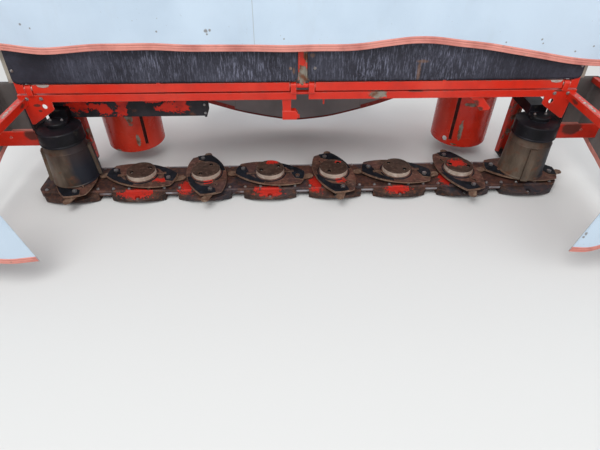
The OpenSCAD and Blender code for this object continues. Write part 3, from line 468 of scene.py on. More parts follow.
HOUSING_RED = marks((x, 0.09, z, rx, 0.05, rz) for x, z, rx, rz in [
    (-1.265, 0.500, 0.065, 0.034), (-1.185, 0.495, 0.050, 0.018), (-1.120, 0.475, 0.045, 0.032),
    (-1.015, 0.520, 0.030, 0.045), (-1.030, 0.465, 0.034, 0.040), (-0.830, 0.525, 0.070, 0.012),
    (-0.765, 0.485, 0.055, 0.028), (-0.690, 0.500, 0.045, 0.044)])


def disc_marks(rows):
    """Marks whose rows are led by the disc's number from 0 and the X from its centre."""
    return marks((DISC_X[i] + dx, *row) for i, dx, *row in rows)


# Red left on skids, discs and hubs
SKID_RED = disc_marks([
    (1, -0.015, -0.145, 0.052, 0.095, 0.035, 0.03), (2, -0.110, -0.095, 0.052, 0.045, 0.060, 0.03),
    (3, -0.010, -0.145, 0.052, 0.075, 0.040, 0.03), (4, -0.110, -0.080, 0.055, 0.040, 0.075, 0.03),
    (5, -0.010, -0.145, 0.052, 0.070, 0.028, 0.03), (6, -0.085, -0.060, 0.055, 0.050, 0.060, 0.03)])
DISC_RED = disc_marks([
    (2, 0.02, -0.09, 0.10, 0.03, 0.02, 0.03), (4, 0.03, -0.10, 0.10, 0.03, 0.02, 0.03),
    (1, 0.12, -0.06, 0.09, 0.04, 0.02, 0.02)])
HUB_RED = disc_marks([
    (3, 0.01, 0.06, 0.126, 0.035, 0.02, 0.02), (4, 0.03, 0.055, 0.126, 0.02, 0.012, 0.02),
    (6, -0.01, 0.02, 0.126, 0.05, 0.04, 0.02)])

# The cutterbar's scuffed lips, painted pale as bare metal and as a highlight: place behind the disc line, distance
# from a disc, heights and strength
REAR_LIP, FRONT_LIP = 0.1130, -0.1265
REAR_LIP_FROM, FRONT_LIP_FROM = 0.060, 0.152
LIP_LOW, LIP_HIGH = 0.035, 0.050
REAR_SHARE, FRONT_SHARE = 0.3, 0.6


def bar_scuffs_and_highlight(s):
    """The cutterbar's scuffed lips between the skids, painted pale both as bare metal and as the highlight that
    they catch.
    """
    y = s.axis("Y")
    steps = s.math("DIVIDE", s.math("SUBTRACT", s.axis("X"), DISC_X[0]), DISC_PITCH)
    share = s.math("SUBTRACT", s.math("FRACT", s.math("ADD", steps, 0.5)), 0.5)
    from_disc = s.times(s.math("ABSOLUTE", share), DISC_PITCH)
    rear = s.times(s.band(y, DISC_Y + REAR_LIP, DISC_Y + REAR_LIP + 0.002),
                   s.band(from_disc, REAR_LIP_FROM, REAR_LIP_FROM + 0.020))
    front = s.times(s.band(y, DISC_Y + FRONT_LIP, DISC_Y + FRONT_LIP - 0.0015),
                    s.band(from_disc, FRONT_LIP_FROM, FRONT_LIP_FROM + 0.006))
    lip = s.times(s.band(s.axis("Z"), LIP_LOW, LIP_LOW + 0.003),
                  s.band(s.axis("Z"), LIP_HIGH, LIP_HIGH - 0.003))
    bright = s.most(s.times(rear, REAR_SHARE), s.times(s.times(front, lip), FRONT_SHARE))
    return s.times(bright, s.band(s.noise(9, 4), 0.32, 0.50))


MATERIALS = {
    "red_paint": red_paint("red_paint_worn", 0.15, 0.35),
    "black_paint": chipped_black("black_paint_chipped", red_left=0.2),
    "black_plastic": satin_black("black_plastic_moulded", 0.5),
    "bright_steel": bright_steel("bright_steel_oiled"),
    "worn_steel": rusty_steel("disc_steel_rusted", (RUST_DARK, (0.115, 0.045, 0.031), (0.22, 0.108, 0.076)),
                              DISC_RED, 0.25, 0.25),
    "drum_steel": drum_wall("drum_steel_worn"),
    "canvas": canvas("canvas_coated", (0.56, 0.67, 0.775), (0.48, 0.585, 0.69), 0.14, marks=FLAP_MARKS),
    "grey_canvas": canvas("canvas_inside", (0.17, 0.155, 0.145), (0.095, 0.09, 0.085), 0.4,
                          (0.06, 0.055, 0.045)),
    "rubber_sheet": rubber("rubber_sheet_weathered"),
}
SIDE_RED = red_paint("red_paint_side", 0.30, 0.4, (), SIDE_DARK, 7, pale_marks=ARM_TOP_BARE)
SWATH_RED = red_paint("red_paint_drum", 0.02, 0.18, SWATH_BARE, (), 7, 0.26)
# The hoods' near-black includes painted shade
HOOD_BLACK_SHADED = satin_black("black_paint_hood", 0.36)
SPECIAL = {
    "front_beam": red_paint("red_paint_beam", 0.05, 0.15, BEAM_BARE, BEAM_DARK),
    "guard_frame": red_paint("red_paint_guard", 0.10, 0.20, GUARD_BARE),
    "side_frame_left": SIDE_RED, "side_frame_right": SIDE_RED,
    "swath_drum_left": SWATH_RED, "swath_drum_right": SWATH_RED,
    "end_struts": red_paint("red_paint_strut", 0.75, 0.5, (), (), 12),
    "drive_housing": chipped_black("black_paint_housing", HOUSING_RED, 0.0),
    "drum_hood_left": HOOD_BLACK_SHADED, "drum_hood_right": HOOD_BLACK_SHADED,
    "cutterbar": rusty_steel("bar_steel_rusted", ((0.020, 0.011, 0.010), (0.082, 0.034, 0.026), RUST),
                             SKID_RED, 0.15, 0.5, bar_scuffs_and_highlight),
    "skids": rusty_steel("skid_steel_rusted", ((0.016, 0.010, 0.009), (0.060, 0.028, 0.020), RUST),
                         SKID_RED, 0.1, 0.45),
}
CURTAIN = canvas("canvas_curtain", (0.575, 0.69, 0.80), (0.50, 0.61, 0.72), 0.12, marks=CURTAIN_MARKS,
                 seam=FRONT_SEAM)
UNDERSIDE = canvas("canvas_underside", (0.46, 0.43, 0.35), (0.36, 0.34, 0.28), 0.5, (0.22, 0.20, 0.15))
REAR_INSIDE = canvas("canvas_rear_inside", (0.27, 0.245, 0.24), (0.18, 0.165, 0.165), 0.25,
                     (0.10, 0.09, 0.08), seam=REAR_SEAM, mirrored=True)
HEM = binding("hem_tape_faded")
HEM_WIDE = binding("hem_tape_red", (0.34, 0.045, 0.035), (0.20, 0.030, 0.024))
HEM_DARK = binding("hem_tape_dark", (0.20, 0.030, 0.024), (0.11, 0.025, 0.02))
HUB_SIDE = rusty_steel("hub_side_worn", ((0.38, 0.28, 0.22), (0.54, 0.43, 0.35), (0.68, 0.59, 0.52)),
                       grass=0.12, blue=0.0)
HUB_TOP = rusty_steel("hub_top_rusted", ((0.030, 0.016, 0.011), (0.060, 0.033, 0.023), (0.12, 0.075, 0.055)),
                      HUB_RED, 0.05, 0.0)
PLATE_EDGE = rusty_steel("disc_edge_worn", ((0.13, 0.070, 0.047), (0.22, 0.135, 0.092), TAN),
                         grass=0.2, blue=0.1)
CARRIER = rusty_steel("carrier_steel_dark",
                      ((0.004, 0.005, 0.007), (0.009, 0.010, 0.014), (0.022, 0.025, 0.033)),
                      grass=0.0, blue=0.2, oil=0.12)
BLADE = rusty_steel("blade_steel_rusted", ((0.10, 0.052, 0.034), (0.17, 0.10, 0.066), TAN),
                    grass=0.1, blue=0.0)
# Near-black for the holes in the hub caps: painted shade in the recesses, over greasy steel
HOLE_SHADE_AND_GREASE = rusty_steel("hole_greasy", ((0.006, 0.005, 0.005), (0.014, 0.011, 0.010), (0.03, 0.022, 0.018)),
                     grass=0.0, blue=0.0)
# Near-black red for the swath drums' pressed slots: painted shade in the recesses, with a little stuck grass
RED_SLOT_SHADE = rusty_steel("slot_grimy", ((0.018, 0.004, 0.004), (0.060, 0.007, 0.005), (0.13, 0.012, 0.008)),
                       grass=0.1, blue=0.0)
POST_BLACK = chipped_black("black_paint_post", red_left=0.30)
BOLT = bright_steel("bolt_steel_greased", (0.29, 0.28, 0.28))
ZINC = bright_steel("bolt_zinc", (0.62, 0.60, 0.54))

# Heights and radii that part a disc's faces
PLATE_LOW = 0.0805
CARRIER_TOP = 0.092
FLARE_TOP = 0.097
HOLE_FLOOR = 0.111
CAP_TOP = 0.1225
HUB_R = 0.0855
HOLES_R = HUB_R - 0.010
FLARE_R = HUB_R + 0.015
BLADE_FROM = 0.12
BLADE_PIVOT = 0.172
BOLT_R = 0.0145

# How near a face's middle comes to a height or radius that it lies at, and how upright a wall's face is
NEAR = 0.001
UPRIGHT = 0.4


def dress_disc(node, x):
    """Gives each face of a disc the material of what it belongs to."""
    for material in (HUB_SIDE, HUB_TOP, CARRIER, BLADE, BOLT, HOLE_SHADE_AND_GREASE, PLATE_EDGE):
        node.data.materials.append(material)
    plate, side, top, carrier, blade, bolt, hole, rim = range(8)
    for face in node.data.polygons:
        centre = face.center
        r = math.hypot(centre.x - x, centre.y - DISC_Y)
        kind = plate
        if centre.z < PLATE_LOW and r > BLADE_FROM:
            kind = blade
        elif abs(r - BLADE_PIVOT) < BOLT_R and centre.z > CARRIER_TOP + NEAR / 2:
            kind = bolt
        elif r < HOLES_R and HOLE_FLOOR - NEAR < centre.z < CAP_TOP:
            kind = hole
        elif r < HUB_R + NEAR and centre.z > FLARE_TOP - NEAR:
            kind = top if centre.z > CAP_TOP else side
        elif r > HUB_R and abs(centre.z - CARRIER_TOP) < 1.2 * NEAR:
            kind = carrier
        elif r > FLARE_R and abs(face.normal.z) < UPRIGHT:
            kind = rim
        face.material_index = kind


def dress_faces(node, material, chosen):
    """Gives the chosen faces of a node a second material."""
    node.data.materials.append(material)
    for face in node.data.polygons:
        if chosen(face.center, face.normal):
            face.material_index = 1


# The swath drums' slots, the plates at the beam's ends and the struts' feet
SLOT_FLOOR_R, SWATH_R = 0.171, 0.181
SLOT_LOW, SLOT_TOP = 0.10, 0.565
OUTWARD, LEVEL = 0.8, 0.9
POST_X, POST_HALF, POST_FRONT = 1.525, 0.0065, 0.0285
FOOT_TOP = 0.08


def in_slot(centre, normal):
    """On the floor or the walls of a swath drum's pressed slots."""
    out = Vector((abs(centre.x) - SWATH_AXIS.x, centre.y - SWATH_AXIS.y, 0))
    r = out.length
    turned = Vector((normal.x * (1 if centre.x > 0 else -1), normal.y, 0))
    along = abs(turned.dot(out.normalized())) if r else 0
    floor = abs(r - SLOT_FLOOR_R) < 1.5 * NEAR and along > OUTWARD
    wall = SLOT_FLOOR_R - NEAR < r < SWATH_R and along < UPRIGHT and abs(normal.z) < LEVEL
    return SLOT_LOW < centre.z < SLOT_TOP and (floor or wall)


def on_side_post(centre, normal):
    """On the plate that closes the side frame against the beam's end."""
    return abs(abs(centre.x) - POST_X) < POST_HALF and centre.y > DISC_Y + POST_FRONT


def on_foot(centre, normal):
    return centre.z < FOOT_TOP


def dress_nodes():
    for row in frame["record"]["subparts"]:
        name, slot = row["node"], row["material_slot"]
        node = NODES[name]
        node.data.materials.clear()
        node.data.materials.append(SPECIAL.get(name, MATERIALS[slot]))
        if name.startswith("disc_"):
            dress_disc(node, DISC_X[int(name[-1]) - 1])
    for _, word in SIDES:
        # The slots' floors and walls get the painted shade
        dress_faces(NODES["swath_drum_" + word], RED_SLOT_SHADE, in_slot)
        dress_faces(NODES["side_frame_" + word], POST_BLACK, on_side_post)
    dress_faces(NODES["end_struts"], POST_BLACK, on_foot)


dress_nodes()


# Cloth

CLOTH_FRAMES = 24
CLOTH_LIMIT = 0.030
CLOTH_THICK = 0.0016
CLOTH = {"vertex_group_mass": "held", "quality": 6, "mass": 0.5, "air_damping": 4.0,
         "tension_stiffness": 60, "compression_stiffness": 60, "shear_stiffness": 20}

# How many cells each grid has, by its name, and the sheets that are to be settled, with their stiffness
cells = {}
settling = []


def quads(nu, nv):
    """Faces of a grid with nu by nv cells, its points row by row."""
    row = nu + 1
    return [(j * row + i, j * row + i + 1, (j + 1) * row + i + 1, (j + 1) * row + i)
            for j in range(nv) for i in range(nu)]


def add_cloth(name, points, faces, uv, material):
    """A smooth sheet whose uv(index) gives each point's place on it in metres."""
    mesh = bpy.data.meshes.new(name)
    mesh.from_pydata([tuple(p) for p in points], [], faces)
    layer = mesh.uv_layers.new(name="cloth")
    for loop in mesh.loops:
        layer.data[loop.index].uv = uv(loop.vertex_index)
    for face in mesh.polygons:
        face.use_smooth = True
    mesh.materials.append(material)
    return add_object(name, mesh)


def grid(name, nu, nv, point, size, material):
    """A sheet whose point(u, v) is in the row frame, with v from its lower edge up."""
    def uv(index):
        j, i = divmod(index, nu + 1)
        return i / nu * size[0], j / nv * size[1]
    cells[name] = nu, nv
    points = [point(i / nu, j / nv) for j in range(nv + 1) for i in range(nu + 1)]
    return add_cloth(name, points, quads(nu, nv), uv, material)


def hang(piece, pinned, bending=6.0):
    """Marks a sheet to be settled under its own weight, held where pinned(i, j) says."""
    nu, nv = cells[piece.name]
    held = [j * (nu + 1) + i for j in range(nv + 1) for i in range(nu + 1) if pinned(i, j)]
    piece.vertex_groups.new(name="held").add(held, 1.0, "REPLACE")
    settling.append((piece, bending))


def settle():
    """Runs the cloth of every marked sheet once, keeps its shape, and takes the modifier off."""
    for piece, bending in settling:
        cloth = piece.modifiers.new("cloth", "CLOTH")
        for key, value in CLOTH.items():
            setattr(cloth.settings, key, value)
        cloth.settings.bending_stiffness = bending
        cloth.collision_settings.use_collision = False
        cloth.point_cache.frame_start = 1
        cloth.point_cache.frame_end = CLOTH_FRAMES
    scene = bpy.context.scene
    for step in range(1, CLOTH_FRAMES + 1):
        scene.frame_set(step)
    shapes = []
    graph = bpy.context.evaluated_depsgraph_get()
    for piece, _ in settling:
        mesh = piece.evaluated_get(graph).data
        shapes.append([v.co.copy() for v in mesh.vertices])
    for (piece, _), shape in zip(settling, shapes):
        piece.modifiers.remove(piece.modifiers["cloth"])
        for v, settled in zip(piece.data.vertices, shape):
            moved = settled - v.co
            if moved.length > CLOTH_LIMIT:
                moved *= CLOTH_LIMIT / moved.length
            v.co += moved
        piece.data.update()
    scene.frame_set(1)


def thicken(piece, thick=CLOTH_THICK, other_side=None):
    """Gives a sheet its thickness, and its far side a material of its own."""
    solid = piece.modifiers.new("thickness", "SOLIDIFY")
    solid.thickness = thick
    solid.offset = 0
    if other_side:
        piece.data.materials.append(other_side)
        solid.material_offset = 1


# Tape: its height on each sheet, and its section by share of that height and distance from the sheet
HEM_HEIGHT = 0.034
SIDE_HEM_HEIGHT = 0.030
REAR_HEM_HEIGHT, REAR_WIDE_HEIGHT = 0.012, 0.030
HEM_SECTION = [
    (1.0, 0.0010), (0.98, 0.0026), (0.70, 0.0028), (0.67, 0.0016), (0.64, 0.0028), (0.36, 0.0028),
    (0.33, 0.0016), (0.30, 0.0028), (0.04, 0.0028), (-0.02, 0.0016), (-0.03, 0.0)]


def hem(name, piece, material, height=HEM_HEIGHT, columns=None):
    """Tape folded over the lower edge of a settled sheet, ribbed by its two rows of stitching."""
    nu, nv = cells[piece.name]
    columns = list(columns or range(nu + 1))
    points = [v.co.copy() for v in piece.data.vertices]

    def at(i, s):
        """The sheet at column i, s metres above its edge."""
        if s <= 0:
            a, b = points[i], points[nu + 1 + i]
            return a + (a - b).normalized() * -s
        j = 0
        while j < nv - 1:
            step = (points[(j + 1) * (nu + 1) + i] - points[j * (nu + 1) + i]).length
            if s <= step:
                break
            s -= step
            j += 1
        a, b = points[j * (nu + 1) + i], points[(j + 1) * (nu + 1) + i]
        return a + (b - a).normalized() * s

    section = HEM_SECTION + [(s, -d) for s, d in reversed(HEM_SECTION)]
    width = len(section)
    tape, lengths, run = [], [], 0.0
    for k, i in enumerate(columns):
        before, after = columns[max(k - 1, 0)], columns[min(k + 1, len(columns) - 1)]
        along = at(after, 0) - at(before, 0)
        up = at(i, height) - at(i, 0)
        normal = along.cross(up).normalized()
        tape += [at(i, s * height) + normal * d for s, d in section]
        if k:
            run += (at(i, 0) - at(before, 0)).length
        lengths.append(run)

    def uv(index):
        k, m = divmod(index, width)
        return lengths[k], section[m][0] * height
    return add_cloth(name, tape, quads(width - 1, len(columns) - 1), uv, material)


def folds(x, waves):
    """Waves along a sheet, each given by its rate, its phase and its share."""
    return sum(math.sin(x * rate + phase) * share for rate, phase, share in waves)


# Front curtain: it laps over the front of the rail and hangs to an uneven hem

RAIL_HALF = 1.713
RAIL_WRAP = 0.0215
WRAP_ANGLE = math.radians(40)
FRONT_NU, FRONT_NV = 150, 30
FRONT_WRAP_ROWS = 2
FRONT_FOLD, FRONT_FLARE = 0.009, 1.4
# Waves along the curtain: rate, phase and share
FRONT_WAVES = [(9.3, 1.1, 0.6), (15.7, 0.4, 0.4)]
# Lower edge: X and depth below the rail
FRONT_HEM = [
    (-1.715, 0.490), (-1.475, 0.510), (-1.303, 0.530), (-1.183, 0.527), (-0.978, 0.514), (-0.720, 0.516),
    (-0.532, 0.522), (0.069, 0.527), (0.292, 0.520), (0.429, 0.505), (0.549, 0.491), (0.669, 0.492),
    (0.806, 0.509), (1.046, 0.540), (1.321, 0.588), (1.526, 0.612), (1.715, 0.614)]


def front_point(u, v):
    x = (2 * u - 1) * RAIL_HALF
    row = FRONT_NV - round(v * FRONT_NV)
    if row <= FRONT_WRAP_ROWS:
        a = WRAP_ANGLE * (1 - row / FRONT_WRAP_ROWS)
        return RAIL + Vector((x - RAIL.x, -RAIL_WRAP * math.cos(a), RAIL_WRAP * math.sin(a)))
    share = (row - FRONT_WRAP_ROWS) / (FRONT_NV - FRONT_WRAP_ROWS)
    out = folds(x, FRONT_WAVES) * FRONT_FOLD * share ** FRONT_FLARE
    return RAIL + Vector((x - RAIL.x, out - RAIL_WRAP, -smooth(FRONT_HEM, x) * share))


def make_front_curtain():
    length = sum(drop for _, drop in FRONT_HEM) / len(FRONT_HEM) + RAIL_WRAP * WRAP_ANGLE
    piece = grid("front_curtain_canvas", FRONT_NU, FRONT_NV, front_point, (2 * RAIL_HALF, length), CURTAIN)
    hang(piece, lambda i, j: j >= FRONT_NV - FRONT_WRAP_ROWS - 1)
    return piece, length


# Rear curtain in three panels, its hem lowest in the middle

REAR_Y, REAR_Z, ROD_R = 0.700, 0.640, 0.018
REAR_HALF, REAR_DEPTH = 0.800, 0.51
REAR_NU, REAR_NV = 84, 24
REAR_TOP = REAR_Z + 0.012
REAR_LOW, REAR_RISE, REAR_BEND = 0.075, 0.200, 1.6
REAR_GAP, REAR_SLOPE = 0.003, 0.004
REAR_FOLD, REAR_FLARE = 0.005, 1.3
REAR_WAVES = [(11, 0.7, 0.6), (19, 0, 0.3)]


def rear_point(u, v):
    x = (2 * u - 1) * REAR_HALF
    low = REAR_LOW + REAR_RISE * abs(x / REAR_HALF) ** REAR_BEND
    out = folds(x, REAR_WAVES) * REAR_FOLD * (1 - v) ** REAR_FLARE + REAR_SLOPE * (1 - v)
    return place(x, REAR_Y + ROD_R + REAR_GAP + out, low + (REAR_TOP - low) * v)


def make_rear_curtain():
    piece = grid("rear_curtain_canvas", REAR_NU, REAR_NV, rear_point, (2 * REAR_HALF, REAR_DEPTH),
                 MATERIALS["grey_canvas"])
    hang(piece, lambda i, j: j >= REAR_NV - 1)
    return piece


def make_rear_hems(piece):
    """Narrow dark tape between the seams, and wide red tape beyond them."""
    inner = [i for i in range(REAR_NU + 1) if abs(2 * i / REAR_NU - 1) * REAR_HALF < REAR_SEAM + 0.010]
    left, right = range(inner[0] + 1), range(inner[-1], REAR_NU + 1)
    return [hem("rear_curtain_hem", piece, HEM_DARK, REAR_HEM_HEIGHT, inner),
            hem("rear_curtain_hem_left", piece, HEM_WIDE, REAR_WIDE_HEIGHT, left),
            hem("rear_curtain_hem_right", piece, HEM_WIDE, REAR_WIDE_HEIGHT, right)]


# Side curtains: each goes from its rear flap along the rail and round the corner to a slanted front flap

SIDE_X, SIDE_FRONT, SIDE_REAR = 1.7722, -0.8022, 0.2222
SIDE_TOP, SIDE_LOW = 0.590, 0.152
SIDE_NU, SIDE_NV = 96, 16
SIDE_FOLD, SIDE_WAVE = 0.004, 13
CORNER_COLUMNS, CORNER_REACH = 1.2, 0.02
FLAP_REAR_X, FLAP_TIP = 1.645, 1.252
REAR_RUN, SIDE_RUN, FLAP_RUN = SIDE_X - FLAP_REAR_X, SIDE_REAR - SIDE_FRONT, SIDE_X - FLAP_TIP
SIDE_LENGTH = REAR_RUN + SIDE_RUN + FLAP_RUN
# Inner edge of the front flap, as height and X, and its lower edge, as X and height
FLAP_IN = [(0.142, FLAP_TIP), (0.430, 1.312), (0.585, 1.402), (0.600, 1.410)]
FLAP_LOW = [(FLAP_TIP, 0.143), (1.330, 0.153), (1.420, 0.170), (1.560, 0.153), (1.772, 0.152)]
# Lower edge along the side: distance behind the disc line and height
SIDE_HEM = [(-0.81, 0.152), (-0.30, 0.154), (-0.16, 0.165), (0.0, 0.205), (0.10, 0.235), (0.23, 0.262)]


def side_point(side):
    def point(u, v):
        run = u * SIDE_LENGTH
        if run < REAR_RUN:
            x, y = FLAP_REAR_X + run, SIDE_REAR
            low = smooth(SIDE_HEM, y)
        elif run < REAR_RUN + SIDE_RUN:
            x, y = SIDE_X, SIDE_REAR - (run - REAR_RUN)
            low = smooth(SIDE_HEM, y)
        else:
            share = (run - REAR_RUN - SIDE_RUN) / FLAP_RUN
            low = smooth(FLAP_LOW, SIDE_X - share * FLAP_RUN)
            inner = ramp(FLAP_IN, low + (SIDE_TOP - low) * v)
            x, y = SIDE_X - share * (SIDE_X - inner), SIDE_FRONT
        inward = abs(math.sin(run * SIDE_WAVE + side) * SIDE_FOLD * (1 - v))
        if REAR_RUN < run < REAR_RUN + SIDE_RUN:
            x -= inward
        else:
            y += inward if y < 0 else -inward
        return place(side * x, y, low + (SIDE_TOP - low) * v)
    return point


def make_side_curtain(side, word):
    piece = grid("side_curtain_canvas_" + word, SIDE_NU, SIDE_NV, side_point(side),
                 (SIDE_LENGTH, SIDE_TOP - SIDE_LOW), MATERIALS["canvas"])
    front_corner = (REAR_RUN + SIDE_RUN) / SIDE_LENGTH * SIDE_NU

    def held(i, j):
        at_rear_corner = abs(i / SIDE_NU * SIDE_LENGTH - REAR_RUN) < CORNER_REACH
        return j >= SIDE_NV - 1 or abs(i - front_corner) < CORNER_COLUMNS or at_rear_corner
    hang(piece, held, 12.0)
    return piece


# Canvas of the guard, laid on its frame with a faint bow between the bars

GUARD_COVER = (2 * (GUARD_HALF + 0.038), GUARD_DEPTH - 0.022)
GUARD_COVER_LOW, GUARD_COVER_Y = 0.024, 0.0145
GUARD_BOW = 0.0035


def guard_canvas_point(u, v):
    x = (u - 0.5) * GUARD_COVER[0]
    bow = GUARD_BOW * abs(math.sin(x / GUARD_HALF * math.pi * 2)) * math.sin(v * math.pi)
    return guard_point(x, GUARD_COVER_Y + bow, GUARD_COVER_LOW + GUARD_COVER[1] * v)


def make_guard_canvas():
    return grid("guard_canvas_cover", 96, 22, guard_canvas_point, GUARD_COVER, MATERIALS["canvas"])


# Top cover, which sags between the struts of the rear frame

COVER_HALF, COVER_FRONT, COVER_REAR = 0.900, 0.327, 0.724
COVER_Z = REAR_Z + ROD_R + 0.0022
COVER_NU, COVER_NV = 72, 18
STRUT_PLACES = (0.450, 0.850)
STRUT_REACH = 0.030


def cover_point(u, v):
    return place((2 * u - 1) * COVER_HALF, COVER_FRONT + (COVER_REAR - COVER_FRONT) * v, COVER_Z)


def make_top_cover():
    piece = grid("top_cover_canvas", COVER_NU, COVER_NV, cover_point,
                 (2 * COVER_HALF, COVER_REAR - COVER_FRONT), MATERIALS["canvas"])

    def held(i, j):
        x = abs(2 * i / COVER_NU - 1) * COVER_HALF
        on_strut = any(abs(x - strut) < STRUT_REACH for strut in STRUT_PLACES)
        return j in (0, COVER_NV - 1, COVER_NV) or i in (0, COVER_NU) or on_strut
    hang(piece, held, 10.0)
    return piece


# Rubber sheets behind the front curtain, with rounded corners and a faint bow

SHEET_IN, SHEET_LOW, SHEET_TOP = 0.027, 0.027, 0.685
SHEET_SIZE = (GUARD_HALF - SHEET_IN, SHEET_TOP - SHEET_LOW)
SHEET_CORNER = 0.025
SHEET_Y, SHEET_BOW = -0.0148, 0.002
SHEET_THICK = 0.0044


def sheet_point(side):
    def point(u, v):
        x, z = SHEET_IN + SHEET_SIZE[0] * u, SHEET_LOW + SHEET_SIZE[1] * v
        cx = min(max(x, SHEET_IN + SHEET_CORNER), GUARD_HALF - SHEET_CORNER)
        cz = min(max(z, SHEET_LOW + SHEET_CORNER), SHEET_TOP - SHEET_CORNER)
        dx, dz = x - cx, z - cz
        if dx and dz:
            scale = max(abs(dx), abs(dz)) / math.hypot(dx, dz)
            x, z = cx + dx * scale, cz + dz * scale
        bow = SHEET_BOW * math.sin(u * math.pi * 5) * math.sin(v * math.pi)
        return guard_point(side * x, SHEET_Y + bow, z)
    return point


def make_rubber_sheet(side, word):
    piece = grid("rubber_sheet_" + word, 116, 52, sheet_point(side), SHEET_SIZE, MATERIALS["rubber_sheet"])
    thicken(piece, SHEET_THICK)
    return piece


def make_soft_goods():
    front, front_length = make_front_curtain()
    rear = make_rear_curtain()
    sides = [make_side_curtain(side, word) for side, word in SIDES]
    cover, guard = make_top_cover(), make_guard_canvas()
    sheets = [make_rubber_sheet(side, word) for side, word in SIDES]
    if settling:
        settle()

    front_hem = hem("front_curtain_hem", front, HEM)
    rear_hems = make_rear_hems(rear)
    side_hems = [hem("side_curtain_hem_" + word, piece, HEM, SIDE_HEM_HEIGHT)
                 for piece, (_, word) in zip(sides, SIDES)]
    pale, grey = MATERIALS["canvas"], MATERIALS["grey_canvas"]
    for piece, near, far in ((front, CURTAIN, UNDERSIDE), (rear, REAR_INSIDE, pale), (cover, pale, grey),
                             (guard, UNDERSIDE, pale), (sides[0], pale, grey), (sides[1], grey, pale)):
        piece.data.materials[0] = near
        thicken(piece, other_side=far)

    for body, slot, pieces in (("front_curtain", "canvas", [front, front_hem]),
                               ("frame", "grey_canvas", [rear] + rear_hems),
                               ("frame", "canvas", [cover] + sides + side_hems),
                               ("front_guard", "canvas", [guard]),
                               ("front_guard", "rubber_sheet", sheets)):
        for piece in pieces:
            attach(piece, body)
    for piece, node in ((front, "front_curtain"), (rear, "rear_curtain"), (cover, "top_cover"),
                        (guard, "guard_canvas"), (sheets[0], "guard_sheets"),
                        (sides[0], "side_curtain_left"), (sides[1], "side_curtain_right")):
        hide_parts(node)


make_soft_goods()


# Fasteners: profiles as radius and height, those of a bolt as shares of its head's radius

WASHER = [(1.25, 0), (1.25, 0.16), (1.1, 0.22)]
HEAD = [(0.98, 0.2), (1, 0.28), (1, 0.80), (0.84, 0.95)]
THREAD = [(0.5, 0.9), (0.5, 1.35), (0.38, 1.45)]
RIVET = [(0.0090, 0), (0.0090, 0.0008), (0.0060, 0.0010), (0.0048, 0.0021), (0.0018, 0.00312)]
HINGE_WASHER = [(0.012, 0), (0.014, 0.0006), (0.014, 0.0044), (0.012, 0.005)]
SPLIT_PIN = [(0.0016, 0), (0.0022, 0.001), (0.0022, 0.027), (0.0040, 0.028), (0.0040, 0.031)]
LOCK_PIN = [
    (0.012, 0), (0.012, 0.003), (0.007, 0.004), (0.007, 0.016), (0.010, 0.017), (0.010, 0.022),
    (0.006, 0.024)]
OUT = Vector((0, -1, 0))
UP = Vector((0, 0, 1))


def lathe(bm, centre, axis, profile, sides, turn=0.0, size=1.0):
    """Turns a profile round an axis; six sides make a hexagon."""
    axis = Vector(axis).normalized()
    side = axis.orthogonal().normalized()
    other = axis.cross(side)
    rings = []
    for r, h in profile:
        ring = []
        for k in range(sides):
            a = turn + 2 * math.pi * k / sides
            out = (side * math.cos(a) + other * math.sin(a)) * (r * size)
            ring.append(bm.verts.new(centre + axis * (h * size) + out))
        rings.append(ring)
    for low, high in zip(rings, rings[1:]):
        for k in range(sides):
            bm.faces.new((low[k], low[(k + 1) % sides], high[(k + 1) % sides], high[k]))
    bm.faces.new(rings[0][::-1])
    bm.faces.new(rings[-1])


def bolt(bm, centre, axis, size, thread=True, turn=0.0):
    """Washer, chamfered hexagon head and, where wanted, the end of the thread."""
    lathe(bm, centre, axis, WASHER, 20, size=size)
    lathe(bm, centre, axis, HEAD, 6, turn, size)
    if thread:
        lathe(bm, centre, axis, THREAD, 14, size=size)


def finish_metal(bm, name, material, body):
    """Makes a piece of what was built, on its body and with its slot."""
    mesh = bpy.data.meshes.new(name)
    bm.to_mesh(mesh)
    bm.free()
    mesh.materials.append(material)
    made = add_object(name, mesh)
    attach(made, body)


def add_bolts(name, body, rows, material=BOLT):
    """One piece from rows of X, distance behind the disc line, height, facing, size, thread and turn."""
    bm = bmesh.new()
    for x, y, z, axis, size, thread, turn in rows:
        bolt(bm, place(x, y, z), axis, size, thread, turn)
    finish_metal(bm, name, material, body)


def both_sides(rows):
    """Rows for both sides; one without a facing faces outward."""
    return [(side * x, y, z, axis or (side, 0, 0), size, thread, side * turn) for side in (-1, 1)
            for x, y, z, axis, size, thread, turn in rows]


def round_turns(count):
    """The angles of a ring of bolts."""
    return [2 * math.pi * (k + 0.5) / count for k in range(count)]


# How far the cap of each inner disc is turned, in degrees, and how far out its two holes lie
CAP_TURNS = [25, 60, 20, 55, 140, 165]
HOLE_REACH = 0.055


def make_hub_bolts():
    """The bolt heads that show in the two holes of each inner disc's cap."""
    for i, cap_turn in enumerate(CAP_TURNS, 1):
        rows = []
        for half in (0, 180):
            a = math.radians(cap_turn + half)
            x, y = DISC_X[i] + HOLE_REACH * math.cos(a), HOLE_REACH * math.sin(a)
            rows.append((x, y, HOLE_FLOOR + 0.0002, UP, 0.0066, False, a))
        add_bolts("hub_bolts_%d" % (i + 1), "cutting_disc_%d" % (i + 1), rows, ZINC if i % 2 else BOLT)


BAR_BOLT_Z = 0.0632


